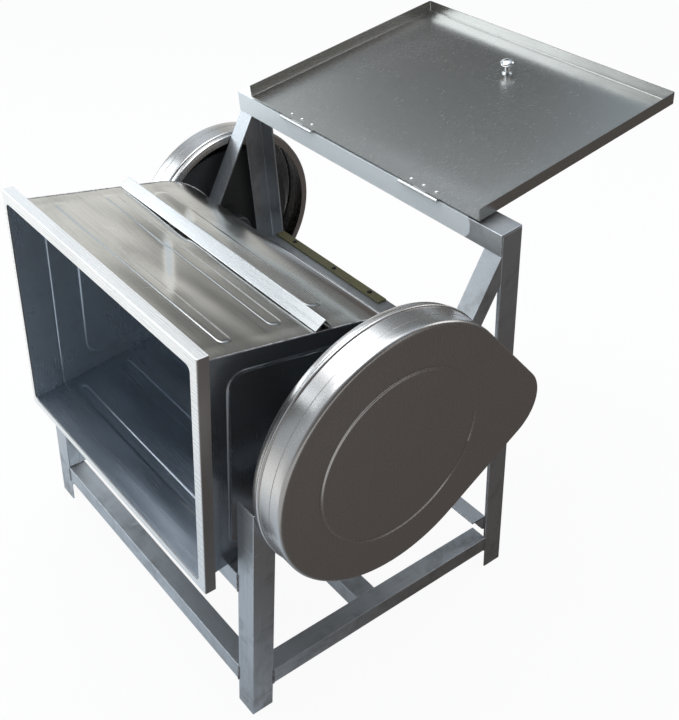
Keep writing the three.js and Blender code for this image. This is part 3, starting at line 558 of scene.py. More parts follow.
def fill_weld_bead(g, given, out):
    line = g.node("GeometryNodeMeshToCurve", {0: given["Geometry"]}).outputs[0]
    inputs = {"Curve": line, "Length": given["Pitch"]}
    steps = g.node("GeometryNodeResampleCurve", inputs, mode="LENGTH").outputs[0]
    turn = facing_along(g, g.node("GeometryNodeInputTangent").outputs[0])
    lump = g.node("GeometryNodeMeshIcoSphere", {"Radius": 1.0, "Subdivisions": 2}).outputs[0]
    uneven = random_vector(g, (0.75, 0.75, 0.75), (1.2, 1.2, 1.1), given["Seed"])
    solid = realized_on(g, steps, lump, turn, g.scaled(uneven, given["Lump"]))
    give_material(g, given, out, g.node("GeometryNodeSetShadeSmooth", {0: solid}).outputs[0])


GEOMETRY = ("Geometry", "NodeSocketGeometry", None)
MATERIAL = ("Material", "NodeSocketMaterial", None)


def geometry_tree(name, inputs, build):
    kinds = {"f": "NodeSocketFloat", "i": "NodeSocketInt", "v": "NodeSocketVector", "o": "NodeSocketObject"}
    sockets = [GEOMETRY] + [(title, kinds[kind], value) for title, kind, value in inputs] + [MATERIAL]
    return new_group(name, "GeometryNodeTree", sockets, [("Geometry", "NodeSocketGeometry")], build)


FASTENERS = geometry_tree(
    "fasteners",
    [("Head", "o", None), ("Facing", "v", (0.0, 0.0, 1.0)), ("Radius", "f", 4 * MM),
     ("Height", "f", 3 * MM), ("Seed", "i", 1)],
    fill_fasteners,
)
WELD_BEAD = geometry_tree(
    "weld bead",
    [("Pitch", "f", 2 * MM), ("Lump", "v", (2 * MM, 2 * MM, 1.5 * MM)), ("Seed", "i", 1)],
    fill_weld_bead,
)


def grown(name, tree, values, material, vertices, edges=()):
    """A piece made by a geometry tree from points or lines, as a plain mesh."""
    mesh = bpy.data.meshes.new(name)
    mesh.from_pydata([tuple(v) for v in vertices], edges, [])
    piece = new_object(name, mesh)
    modifier = piece.modifiers.new(name, "NODES")
    modifier.node_group = tree
    sockets = {s.name: s.identifier for s in tree.interface.items_tree if s.in_out == "INPUT"}
    for title, value in {**values, "Material": LOOK[material]}.items():
        modifier[sockets[title]] = value
    bake_modifiers(piece)
    return piece


def ride_and_slot(piece, body):
    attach(piece, body)
    return piece


def turned_template(name, profile, sides=24):
    """A unit head turned from (radius, height) points; it is only a pattern for the trees."""
    angles = [math.tau * i / sides for i in range(sides)]
    points = np.array([[(r * math.cos(a), r * math.sin(a), h) for a in angles] for r, h in profile])
    made = sheet_from(name, points, ring=True, pole=(0.0, 0.0, profile[-1][1]))
    face_outwards(made, (0, 0, 1))
    smooth_shaded(made.data, 40)
    return made


def hex_template(name):
    """A hexagon bolt head on its washer, one unit in radius and one in height."""
    bm = bmesh.new()
    for sides, radius, bottom, top in ((28, 1.25, 0.0, 0.25), (6, 1.0, 0.25, 1.0)):
        made = bmesh.ops.create_cone(
            bm, cap_ends=True, segments=sides, radius1=radius, radius2=radius, depth=top - bottom,
        )
        bmesh.ops.translate(bm, verts=made["verts"], vec=(0, 0, (top + bottom) / 2))
    rims = [e for e in bm.edges if e.calc_face_angle(0.0) > 0.8]
    bmesh.ops.bevel(bm, geom=rims, offset=0.06, segments=2, affect="EDGES", profile=0.5, clamp_overlap=True)
    mesh = bpy.data.meshes.new(name)
    bm.to_mesh(mesh)
    bm.free()
    smooth_shaded(mesh, 30)
    return new_object(name, mesh)


DOME = turned_template(
    "dome_pattern", [(1.0, 0.0), (1.0, 0.15), (0.93, 0.45), (0.75, 0.75), (0.45, 0.95), (0.15, 1.0)],
)
HEXAGON = hex_template("hexagon_pattern")


def fasteners(name, points, facing, radius, height, body, material="bright_steel", head=None, seed=3):
    values = {"Head": head or DOME, "Facing": facing, "Radius": radius, "Height": height, "Seed": seed}
    piece = grown(name, FASTENERS, values, material, points)
    return ride_and_slot(piece, body)


def hexagons(name, points, facing, radius, height, body):
    return fasteners(name, points, facing, radius, height, body, head=HEXAGON)


def weld(name, lines, size, body, seed=5, pitch=None):
    """Weld beads along lines, each a list of points."""
    vertices, edges = [], []
    for line in lines:
        first = len(vertices)
        vertices += list(line)
        edges += [(first + i, first + i + 1) for i in range(len(line) - 1)]
    values = {"Pitch": pitch or size * 0.95, "Lump": (size, size, size * 0.8), "Seed": seed}
    piece = grown(name, WELD_BEAD, values, "weld", vertices, edges)
    return ride_and_slot(piece, body)


# ---------- camera, light and floor ----------
CAMERA_PLACE = Vector((1.1645, FRONT - 0.5964, 1.4739))
CAMERA_TURN = (50.93, 34.86, 2.02)  # azimuth, elevation and roll, degrees
CAMERA_LENS = 51.35
CAMERA_SHIFT = (0.0489, -0.0352)


def build_camera():
    azimuth, elevation, roll = (math.radians(v) for v in CAMERA_TURN)
    turn = (
        Matrix.Rotation(azimuth, 4, "Z")
        @ Matrix.Rotation(math.pi / 2 - elevation, 4, "X")
        @ Matrix.Rotation(roll, 4, "Z")
    )
    data = bpy.data.cameras.new("camera")
    data.lens = CAMERA_LENS
    data.shift_x, data.shift_y = CAMERA_SHIFT
    camera = new_object("camera", data)
    camera.matrix_world = Matrix.Translation(CAMERA_PLACE) @ turn
    bpy.context.scene.camera = camera


# Soft areas of the studio round the mixer: direction, the degrees where each is full and ends, colour.
STUDIO_BASE = (0.2, 0.2, 0.2)
STUDIO_AREAS = [
    ((-0.2, 0.1, 0.97), 27, 47, (0.72, 0.81, 0.9)),
    ((-0.88, 0.42, 0.2), 8, 25, (1.0, 0.99, 0.95)),
    ((-0.87, 0.2, 0.42), 7, 17, (0.75, 0.84, 0.92)),
    ((-0.6, 0.6, 0.55), 10, 15, (0.08, 0.08, 0.077)),
    ((-0.46, 0.65, 0.6), 2, 8, (0.4, 0.47, 0.53)),
    ((-0.6, -0.75, 0.15), 25, 62, (0.5, 0.54, 0.58)),
    ((-0.8, -0.6, -0.02), 5, 13, (0.06, 0.07, 0.08)),
    ((0.92, 0.35, 0.0), 30, 70, (0.1, 0.09, 0.085)),
    ((0.81, 0.5, 0.3), 5, 11, (0.8, 0.8, 0.8)),
]


def build_studio():
    world = bpy.data.worlds.new("studio")
    bpy.context.scene.world = world
    world.use_nodes = True
    world.node_tree.nodes.clear()
    g = Graph(world.node_tree)
    direction = g.node("ShaderNodeTexCoord").outputs["Generated"]
    light = (*STUDIO_BASE, 1.0)
    for towards, full, end, colour in STUDIO_AREAS:
        unit = Vector(towards).normalized()
        near = g.node("ShaderNodeVectorMath", {0: direction, 1: unit}, operation="DOT_PRODUCT")
        share = g.ramp(near.outputs["Value"], math.cos(math.radians(end)), math.cos(math.radians(full)))
        light = g.mix(share, light, (*colour, 1.0))
    lit = g.node("ShaderNodeBackground", {"Color": light, "Strength": 1.0})
    white = g.node("ShaderNodeBackground", {"Color": (1.0, 1.0, 1.0, 1.0), "Strength": 1.0})
    seen = g.node("ShaderNodeLightPath").outputs["Is Camera Ray"]
    both = g.node("ShaderNodeMixShader", {0: seen, 1: lit.outputs[0], 2: white.outputs[0]})
    output = g.node("ShaderNodeOutputWorld")
    world.node_tree.links.new(both.outputs[0], output.inputs["Surface"])


LIGHTS = [  # name, place, size, power, colour
    ("key_light", (-0.6, -0.3, 3.0), 2.2, 42.0, (1.0, 1.0, 1.0)),
    ("window_light", (-2.6, -2.0, 1.8), 1.8, 26.0, (0.9, 0.96, 1.0)),
    ("back_light", (0.8, 2.8, 2.2), 1.6, 14.0, (1.0, 1.0, 1.0)),
]
LIT_POINT = Vector((0.0, 0.0, 0.4))


def build_lights():
    for name, place, size, power, colour in LIGHTS:
        data = bpy.data.lights.new(name, "AREA")
        data.size = size
        data.energy = power
        data.color = colour
        lamp = new_object(name, data)
        lamp.location = place
        lamp.rotation_euler = (LIT_POINT - Vector(place)).to_track_quat("-Z", "Y").to_euler()


FLOOR_HALF = 8.0


def build_floor():
    """Pale to look at; to every other ray it glows with painted room tones, darker to the right and back,
    which the steel shows as a painted reflection of a room.
    """
    corners = [(FLOOR_HALF * x, FLOOR_HALF * y, 0) for x, y in ((-1, -1), (1, -1), (1, 1), (-1, 1))]
    mesh = bpy.data.meshes.new("floor")
    mesh.from_pydata(corners, [], [(0, 1, 2, 3)])
    floor = new_object("floor", mesh)
    material = bpy.data.materials.new("pale floor")
    material.use_nodes = True
    tree = material.node_tree
    tree.nodes.clear()
    g = Graph(tree)
    place = g.node("ShaderNodeTexCoord").outputs["Object"]
    parts = g.node("ShaderNodeSeparateXYZ", {0: place}).outputs
    leftward = g.math("MULTIPLY", g.math("ADD", parts[0], parts[1]), -1.0)
    # Painted reflection: glowing tones for the floor as the steel mirrors it, dark to the right and back,
    # bright to the left.
    painted_reflection_tone = g.mix(g.ramp(leftward, -0.4, 0.5), (0.105, 0.093, 0.086, 1.0), (0.62, 0.7, 0.78, 1.0))
    painted_reflection_tone = g.mix(g.ramp(leftward, 0.6, 1.6), painted_reflection_tone, (1.15, 1.18, 1.18, 1.0))
    rightward = g.math("SUBTRACT", parts[0], parts[1])
    painted_reflection_tone = g.mix(g.ramp(rightward, 1.25, 1.55), painted_reflection_tone, (0.55, 0.55, 0.55, 1.0))
    glow = g.node("ShaderNodeEmission", {"Color": (1.0, 1.0, 1.0, 1.0), "Strength": 1.0})
    pale = g.node("ShaderNodeBsdfDiffuse", {"Color": (0.88, 0.88, 0.88, 1.0)})
    looked_at = g.node("ShaderNodeMixShader", {0: 0.94, 1: pale.outputs[0], 2: glow.outputs[0]})
    # The painted reflection glows from the floor for every ray but the camera's.
    painted_reflection_glow = g.node("ShaderNodeEmission", {"Color": painted_reflection_tone})
    seen = g.node("ShaderNodeLightPath").outputs["Is Camera Ray"]
    both = g.node("ShaderNodeMixShader", {0: seen, 1: painted_reflection_glow.outputs[0], 2: looked_at.outputs[0]})
    output = g.node("ShaderNodeOutputMaterial")
    tree.links.new(both.outputs[0], output.inputs["Surface"])
    mesh.materials.append(material)


# ---------- trough ----------
def in_trough(x, up, out):
    """A point given from the mixing shaft: up from the floor, and out towards the mouth at rest."""
    return np.stack([x, MIX.y - out, MIX.z + up], axis=-1)


def spaced(start, end, step, near=(), reach=0.0, fine=1.0):
    """Values from start to end, a step apart and closer together round those in near."""
    values = [np.linspace(start, end, round((end - start) / step) + 1)]
    values += [np.arange(max(start, n - reach), min(end, n + reach), fine) for n in near]
    ordered = np.unique(np.concatenate(values))
    kept = np.concatenate([[True], np.diff(ordered) > fine * 0.4])
    kept[-1] = True
    return ordered[kept]


def wrapper_section(out_line, bowl_step):
    """Down the wrapper's outside: up and out of each point, the way it faces, and which wall it is on."""
    out_line = out_line[::-1]
    count = len(out_line)
    up_line = BOWL_RADIUS / math.cos(SPLAY) + out_line * math.tan(SPLAY)
    bowl_count = round(BOWL_RADIUS * (math.pi - 2 * SPLAY) / bowl_step)
    bowl = np.linspace(-SPLAY, SPLAY - math.pi, bowl_count)[1:-1]
    up = np.concatenate([up_line, BOWL_RADIUS * np.cos(bowl), -up_line[::-1]])
    out = np.concatenate([out_line, BOWL_RADIUS * np.sin(bowl), out_line[::-1]])
    wall_up = np.full(count, math.cos(SPLAY))
    wall_out = np.full(count, -math.sin(SPLAY))
    face_up = np.concatenate([wall_up, np.cos(bowl), -wall_up])
    face_out = np.concatenate([wall_out, np.sin(bowl), wall_out])
    wall = np.concatenate([np.ones(count), np.zeros(len(bowl)), -np.ones(count)])
    return up, out, face_up, face_out, wall


RIBS = [  # pressed ribs: how far out from the shaft, half width, from, to
    (179 * MM, 11 * MM, -246 * MM, 238 * MM),
    (86 * MM, 12 * MM, -250 * MM, 226 * MM),
    (-2 * MM, 15 * MM, -236 * MM, 204 * MM),
]
RIB_HEIGHT = 0.95 * MM
RIB_SHOULDER = 3.2 * MM
HOLLOWS = [  # dished places between the ribs: x, out, half length, half width, depth
    (70 * MM, 132 * MM, 190 * MM, 38 * MM, 0.8 * MM),
    (-150 * MM, 130 * MM, 110 * MM, 36 * MM, 1.0 * MM),
    (90 * MM, 214 * MM, 150 * MM, 26 * MM, 0.9 * MM),
    (-60 * MM, -40 * MM, 210 * MM, 34 * MM, 1.8 * MM),
]
CREASES = [  # buckled places: x and out of the middle, lean of the line, half its reach, depth
    (0 * MM, 128 * MM, 1.7, 64 * MM, 3.6 * MM),
    (-110 * MM, 22 * MM, 1.5, 46 * MM, 3.4 * MM),
]
CREASE_STEEP = 22 * MM
CREASE_GENTLE = 150 * MM


def pressed_rib(x, across, centre, half, start, end):
    beyond = np.maximum(np.maximum(start + half - x, x - end + half), 0.0)
    inside = half - np.hypot(beyond, across - centre)
    return smoothstep(inside / RIB_SHOULDER)


def dished(x, across, centre_x, centre, half_length, half_width):
    away = np.hypot((x - centre_x) / half_length, (across - centre) / half_width)
    return smoothstep(1 - away)


def buckled(x, across, centre_x, centre, lean, reach):
    """A gentle fall along +X that ends in a short steep rise."""
    past = x - centre_x - lean * (across - centre)
    rise = 1 - smoothstep(past / CREASE_STEEP)
    fall = smoothstep(1 + past / CREASE_GENTLE)
    return rise * fall * smoothstep(1.4 * (1 - np.abs(across - centre) / reach))


def build_wrapper():
    edges = [centre + side * (half - RIB_SHOULDER / 2) for centre, half, _, _ in RIBS for side in (-1, 1)]
    out_line = spaced(BOWL_END, TROUGH_TOP, 5 * MM, edges, 4 * MM, 1.0 * MM)
    up, out, face_up, face_out, wall = wrapper_section(out_line, 5 * MM)
    left, right = WRAPPER_ENDS
    ends = [start + 5 * MM for _, _, start, _ in RIBS] + [end - 5 * MM for _, _, _, end in RIBS]
    columns = spaced(left, right, 6 * MM, ends, 9 * MM, 2 * MM)
    x = np.broadcast_to(columns, (len(up), len(columns)))
    across = np.broadcast_to(out[:, None], x.shape)
    raised = np.zeros(x.shape)
    for centre, half, start, end in RIBS:
        raised = np.maximum(raised, RIB_HEIGHT * pressed_rib(x, across, centre, half, start, end))
    on_wall = np.broadcast_to(wall[:, None] != 0, x.shape)
    raised = np.where(on_wall | (np.abs(across) < 22 * MM), raised, 0.0)
    for centre_x, centre, half_length, half_width, depth in HOLLOWS:
        raised = raised - depth * dished(x, across, centre_x, centre, half_length, half_width)
    on_top = np.broadcast_to(up[:, None] > 0, x.shape)
    for centre_x, centre, lean, reach, depth in CREASES:
        raised = raised - depth * on_top * buckled(x, across, centre_x, centre, lean, reach)
    surface = in_trough(x, np.broadcast_to(up[:, None], x.shape), across)
    inset = np.minimum(x - left, right - x)
    free = smoothstep(inset / (30 * MM)) * smoothstep((TROUGH_TOP - across) / (30 * MM))
    broad_dents = 0.8 * MM * hammered(surface, (3.5, 12.0, 12.0), 3.1)
    small_dents = 0.35 * MM * hammered(surface, (11.0, 34.0, 34.0), 8.7)
    raised = raised + (broad_dents + small_dents - 0.5 * MM) * free
    outwards = np.column_stack([np.zeros(len(up)), -face_out, face_up])
    surface = surface + raised[..., None] * outwards[:, None, :]
    piece = sheet_from("trough_wrapper_sheet", surface)
    face_outwards(piece, (0, 0, 1))
    piece.data.materials.append(LOOK["trough_sheet"])
    piece.data.materials.append(LOOK["trough_inside_shade"])
    # Painted shade: the inner face takes the second, darker copy of the steel.
    thicken(piece, SHEET, inside=1)
    bake_modifiers(piece)
    smooth_shaded(piece.data)
    settle(piece, None, "trough", "trough_sheet", "trough_wrapper")


def plate_half_height(out):
    """Half the trough's height at a distance out from the shaft."""
    bowl = np.sqrt(np.maximum(BOWL_RADIUS**2 - out**2, 0.0))
    return np.where(out > BOWL_END, BOWL_RADIUS / math.cos(SPLAY) + out * math.tan(SPLAY), bowl)


PANEL_INSET = 30 * MM
PANEL_CORNER = 30 * MM
PANEL_LINE = 3.2 * MM  # half the width of the pressed line


def panel_line(up, out, front):
    """1 on a line pressed round the plate, PANEL_INSET in from its sides and at front across it."""
    side = np.where(
        out > BOWL_END,
        (plate_half_height(out) - np.abs(up)) * math.cos(SPLAY),
        BOWL_RADIUS - np.hypot(up, out),
    ) - PANEL_INSET
    mouth = front - out
    short = [np.maximum(PANEL_CORNER - gap, 0) for gap in (side, mouth)]
    corner = PANEL_CORNER - np.hypot(*short)
    inside = np.where((side < PANEL_CORNER) & (mouth < PANEL_CORNER), corner, np.minimum(side, mouth))
    return smoothstep(1 - np.abs(inside) / PANEL_LINE)


def build_end_plate(side, sign, front, fold=None):
    """The plate is pressed with a rounded line; the left one is also folded across near its mouth."""
    bowl_turn = np.linspace(0.6, 90 - math.degrees(SPLAY), 60)
    creases = [front] if fold is None else [front, fold]
    wall_rows = spaced(BOWL_END, TROUGH_TOP, 4 * MM, creases, 5 * MM, 1.2 * MM)
    rows = np.concatenate([-BOWL_RADIUS * np.cos(np.radians(bowl_turn)), wall_rows[1:]])
    share = spaced(-1.0, 1.0, 0.02, (-0.83, 0.83), 0.05, 0.007)
    out = np.broadcast_to(rows[:, None], (len(rows), len(share)))
    up = plate_half_height(out) * share
    pressed = 1.5 * MM * panel_line(up, out, front)
    if fold is not None:
        pressed = pressed + 1.2 * MM * smoothstep(1 - np.abs(out - fold) / (2.5 * MM))
    inner = low(f"trough_end_{side}").x if sign > 0 else high(f"trough_end_{side}").x
    surface = in_trough(np.full(out.shape, inner), up, out)
    flat_edge = smoothstep((plate_half_height(out) - np.abs(up)) / (12 * MM))
    dents = 0.6 * MM * hammered(surface, (1.0, 9.0, 9.0), 5.3 * sign)
    surface[..., 0] += sign * (pressed + dents * flat_edge)
    piece = sheet_from(f"trough_end_{side}_sheet", surface)
    face_outwards(piece, (sign, 0, 0))
    thicken(piece, 1.6 * MM, 1.0)
    bake_modifiers(piece)
    smooth_shaded(piece.data)
    cut_round_hole(piece, MIX, 22 * MM)
    # The right plate gets the darker copy (painted shade), the left the lighter one (painted light).
    sheet = "shaded_end_sheet" if sign > 0 else "lit_end_sheet"
    settle(piece, sheet, "trough", "trough_sheet", f"trough_end_{side}")


def frame_outline(x0, x1, u0, u1, radius, arc_steps=6, side_steps=30):
    """Points round a rectangle with rounded corners, the same number whatever its size."""
    corners = [(x1 - radius, u1 - radius, 0), (x0 + radius, u1 - radius, 90),
               (x0 + radius, u0 + radius, 180), (x1 - radius, u0 + radius, 270)]
    arcs = []
    for cx, cu, start in corners:
        turn = np.radians(np.linspace(start, start + 90, arc_steps))
        arcs.append(np.column_stack([cx + radius * np.cos(turn), cu + radius * np.sin(turn)]))
    points = []
    for here, there in zip(arcs, arcs[1:] + arcs[:1]):
        share = np.linspace(0, 1, side_steps + 2)[1:-1, None]
        points += [here, here[-1] + share * (there[0] - here[-1])]
    return np.concatenate(points)


MOUTH = (-275.5 * MM, 266.5 * MM, -199.5 * MM, 199.5 * MM)  # left, right, bottom and top of the opening
MOUTH_CORNER = 10 * MM
RIM_CORNER = 1.5 * MM
RIM_FOLD = 2.2 * MM
RIM_SHEET = 1.8 * MM


def build_rim():
    """A frame folded from sheet: a skirt back along its outside, a flat face and a short turned-in edge."""
    lowest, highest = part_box("trough_rim")
    outer = (lowest.x, highest.x, lowest.z - MIX.z, highest.z - MIX.z)
    front = MIX.y - lowest.y
    back = MIX.y - highest.y
    folds = np.radians(np.linspace(0, 90, 5))
    rows = [(0.0, 0.0, back), (0.0, 0.0, (back + front) / 2)]
    rows += [(RIM_FOLD * (1 - math.cos(a)), 0.0, front - RIM_FOLD * (1 - math.sin(a))) for a in folds]
    rows += [(RIM_FOLD, share, front) for share in (0.2, 0.4, 0.6, 0.8, 0.94)]
    rows += [(RIM_FOLD, 1.0, front - 0.5 * MM), (RIM_FOLD, 1.015, front - 3 * MM)]
    rings = []
    for inset, share, out in rows:
        edge = [a + share * (b - a) for a, b in zip(outer, MOUTH)]
        grow = inset * (1 - min(share, 1.0))
        radius = RIM_CORNER + min(share, 1.0) * (MOUTH_CORNER - RIM_CORNER)
        flat = frame_outline(edge[0] + grow, edge[1] - grow, edge[2] + grow, edge[3] - grow, radius)
        rings.append(in_trough(flat[:, 0], flat[:, 1], np.full(len(flat), out)))
    surface = np.stack(rings)
    wobble = 0.35 * MM * (hammered(surface, (9.0, 9.0, 9.0), 6.4) - 1)
    face = np.array([1.0 if 0 < share < 1 else 0.0 for _, share, _ in rows])[:, None]
    surface[..., 1] -= wobble * face
    piece = sheet_from("trough_rim_frame", surface, ring=True)
    face_outwards(piece, (0, -1, 0))
    thicken(piece, RIM_SHEET)
    bake_modifiers(piece)
    smooth_shaded(piece.data, 40)
    piece.data.materials.append(LOOK["rim_steel"])
    piece.data.materials.append(LOOK["rim_shaded_side"])
    # Painted shade: faces turned to either side (along X) take the dark second copy, the rest the light
    # first.
    for polygon in piece.data.polygons:
        polygon.material_index = int(abs(polygon.normal.x) > 0.8)
    weigh_normals(piece)
    settle(piece, None, "trough", "rim_steel", "trough_rim")


def cut_round_hole(piece, centre, radius):
    """Cuts a hole along X through a piece."""
    bm = bmesh.new()
    bmesh.ops.create_cone(bm, cap_ends=True, segments=48, radius1=radius, radius2=radius, depth=0.2)
    bmesh.ops.rotate(bm, verts=bm.verts, matrix=Matrix.Rotation(math.pi / 2, 3, "Y"))
    mid = sum((Vector(c) for c in piece.bound_box), Vector()) / 8
    bmesh.ops.translate(bm, verts=bm.verts, vec=(mid.x, centre.y, centre.z))
    mesh = bpy.data.meshes.new("drill")
    bm.to_mesh(mesh)
    bm.free()
    drill = new_object("drill", mesh)
    hole = piece.modifiers.new("hole", "BOOLEAN")
    hole.operation = "DIFFERENCE"
    hole.object = drill
    hole.solver = "EXACT"
    bake_modifiers(piece)
    bpy.data.objects.remove(drill)


def build_trough_seams():
    """The wrapper's edges welded to the end plates by hand, and the stiffener's stitches."""
    up, out, face_up, face_out, _ = wrapper_section(np.linspace(BOWL_END, TROUGH_TOP, 36), 8 * MM)
    sunk = -0.3 * MM
    for (side, sign), edge in zip(SIDES, reversed(WRAPPER_ENDS)):
        line = in_trough(np.full(up.shape, edge), up + sunk * face_up, out - sunk * face_out)
        behind_rim = out < TROUGH_TOP - 20 * MM
        seam = [line[behind_rim]]
        weld(f"end_seam_{side}", seam, 1.5 * MM, "trough", seed=11 + sign, pitch=2.3 * MM)

    lowest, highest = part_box("trough_stiffener")
    stitches = []
    for y in (lowest.y + 1.5 * MM, highest.y - 1.5 * MM):
        z = MIX.z + BOWL_RADIUS / math.cos(SPLAY) + (MIX.y - y) * math.tan(SPLAY)
        stitches += [[(x - 9 * MM, y, z), (x + 9 * MM, y, z)] for x in np.linspace(-0.22, 0.22, 5)]
    weld("stiffener_stitches", stitches, 1.5 * MM, "trough", 17)


HUB_BOLT_REACH = 35 * MM
HUB_FLANGE = 5.3 * MM


def build_trough():
    build_wrapper()
    build_end_plate("right", 1, TROUGH_TOP - 55 * MM)
    build_end_plate("left", -1, TROUGH_TOP - 108 * MM, TROUGH_TOP - 55 * MM)
    build_rim()
    build_trough_seams()
    rounded_copy("trough_stiffener", "bright_steel", "machined_steel", 0.9 * MM, 3)
    for side, sign in SIDES:
        rounded_copy(f"trough_hub_{side}", "bright_steel", "machined_steel", 0.8 * MM)
        plate = high("trough_end_right").x if sign > 0 else low("trough_end_left").x
        turns = np.radians([45, 135, 225, 315])
        around = HUB_BOLT_REACH * np.column_stack([np.cos(turns), np.sin(turns)])
        bolts = [(plate + sign * HUB_FLANGE, MIX.y + y, MIX.z + z) for y, z in around]
        hexagons(f"hub_bolts_{side}", bolts, (sign, 0, 0), 4 * MM, 3.5 * MM, "trough")


# ---------- covers ----------
def two_circle_outline(big, big_radius, small, small_radius, steps):
    """Points round two circles and their common tangents in (y, z), and the way each faces."""
    heading = math.atan2(small[1] - big[1], small[0] - big[0])
    apart = math.hypot(small[0] - big[0], small[1] - big[1])
    tangent = math.acos((big_radius - small_radius) / apart)
    big_steps, small_steps, line_steps = steps
    arcs = []
    for centre, radius, start, end, count in (
        (big, big_radius, heading + tangent, heading - tangent + math.tau, big_steps),
        (small, small_radius, heading - tangent, heading + tangent, small_steps),
    ):
        angles = np.linspace(start, end, count)
        facing = np.stack([np.cos(angles), np.sin(angles)], axis=-1)
        arcs.append((np.array(centre) + radius * facing, facing))
    points, facings = [], []
    for here, there in ((arcs[0], arcs[1]), (arcs[1], arcs[0])):
        share = np.linspace(0, 1, line_steps + 2)[1:-1, None]
        points += [here[0], here[0][-1] + share * (there[0][0] - here[0][-1])]
        facings += [here[1], np.repeat(here[1][-1:], line_steps, axis=0)]
    return np.concatenate(points), np.concatenate(facings)


COVER_DEPTH = 62 * MM
COVER_EDGE = 6 * MM  # radius between the band and the face
COVER_LIP = 14 * MM
RING_DEPTH = 1.7 * MM  # of the groove pressed in the face
RING_REACH = 4.5 * MM


def cover_band():
    """(depth, growth) points from the lip's inner edge over the band and its bead to the face."""
    profile = [(0.0, -COVER_LIP), (0.0, -3 * MM), (0.9 * MM, -0.9 * MM), (3 * MM, 0.0), (9 * MM, 0.0)]
    bead_steps = 9
    for i in range(bead_steps + 1):
        t = math.pi * i / bead_steps
        profile.append((13.5 * MM - 3.5 * MM * math.cos(t), 2.5 * MM * math.sin(t)))
    profile += [(18 * MM, 0.0), (28 * MM, 0.0), (38 * MM, 0.0)]
    profile += [(39.4 * MM, 0.0), (39.8 * MM, -0.7 * MM), (40.6 * MM, -0.7 * MM), (41 * MM, 0.0)]
    edge_start = COVER_DEPTH - COVER_EDGE
    profile += [(48 * MM, 0.0)]
    for i in range(7):
        t = math.pi / 2 * i / 6
        profile.append((edge_start + COVER_EDGE * math.sin(t), COVER_EDGE * (math.cos(t) - 1)))
    return profile


def build_cover(name, sign, big, big_radius, small, small_radius, ring_radius, *stands_for):
    outline, facing = two_circle_outline(big, big_radius, small, small_radius, (132, 44, 14))
    back = low("gear_cover").x if sign > 0 else high("belt_cover").x
    rings = []
    for depth, grow in cover_band():
        flat = outline + facing * grow
        rings.append(np.column_stack([np.full(len(flat), back + sign * depth), flat]))
    rim = outline - facing * COVER_EDGE
    centre = np.array(big)
    spans = ((0.985, 0.88, 6), (0.87, 0.42, 90), (0.39, 0.04, 9))
    shares = np.concatenate([np.linspace(*span) for span in spans])
    for share in shares:
        flat = centre + (rim - centre) * share
        from_centre = np.hypot(*(flat - centre).T)
        groove = RING_DEPTH * smoothstep(1 - np.abs(from_centre - ring_radius) / RING_REACH)
        x = back + sign * (COVER_DEPTH - groove)
        rings.append(np.column_stack([x, flat]))
    surface = np.stack(rings)
    face_rows = slice(len(cover_band()), None)
    sway = 0.5 * MM * (1 + hammered(surface[face_rows], (0.0, 8.0, 8.0), 2.2 * sign))
    settled = smoothstep((1 - shares) / 0.12)[:, None]
    surface[face_rows, :, 0] -= sign * sway * settled
    pole = surface[-1].mean(axis=0)
    piece = sheet_from(name, surface, ring=True, pole=pole)
    face_outwards(piece, (sign, 0, 0))
    thicken(piece, SHEET)
    bake_modifiers(piece)
    smooth_shaded(piece.data, 40)
    settle(piece, "cover_sheet", "stand", "cover_sheet", *stands_for)


def build_covers():
    gear_end = (FRONT + 0.215, 0.494)
    pinion_end = (FRONT + 0.44, 0.47)
    build_cover("gear_cover_pan", 1, gear_end, 219 * MM, pinion_end, 72 * MM, 147 * MM, "gear_cover")
    pulley_end = (FRONT + 0.432, 0.487)
    motor_end = (MOTOR.y, MOTOR.z)
    build_cover("belt_cover_pan", -1, pulley_end, 182 * MM, motor_end, 60 * MM, 122 * MM, "belt_cover")


# ---------- stand ----------
CROSSWISE_BARS = (
    "front_stretcher", "rear_stretcher", "motor_crossmember", "trough_stop_bar", "rear_support_bar",
)


def build_stand():
    for side, _ in SIDES:
        rounded_copy(f"front_leg_{side}", "iron_upright", "angle_steel", 1.1 * MM, 3)
        rounded_copy(f"rear_leg_{side}", "iron_upright", "angle_steel", 1.1 * MM, 3)
        rounded_copy(f"{side}_brace", "iron_upright", "angle_steel", 1.0 * MM, 3)
        rounded_copy(f"{side}_stretcher", "iron_lengthwise", "angle_steel", 1.1 * MM, 3)
        rounded_copy(f"{side}_shaft_rail", "iron_lengthwise", "angle_steel", 1.1 * MM, 3)
    for bar in CROSSWISE_BARS:
        rounded_copy(bar, "iron_crosswise", "angle_steel", 1.1 * MM, 3)
    rounded_copy("top_crossbar", "crossbar", "angle_steel", 1.3 * MM, 3)
    rounded_copy("buffer_strip", "strip", "strip", 0.6 * MM)
    top = high("buffer_strip").z
    screws = [(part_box(f"strip_screw_{i}")[0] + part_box(f"strip_screw_{i}")[1]) / 2 for i in (1, 2, 3)]
    heads = fasteners("strip_screws", [(p.x, p.y, top) for p in screws], (0, 0, 1), 4.6 * MM, 2.6 * MM,
                      "stand", "dark_screw")
    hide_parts("strip_screw_1", "strip_screw_2", "strip_screw_3")


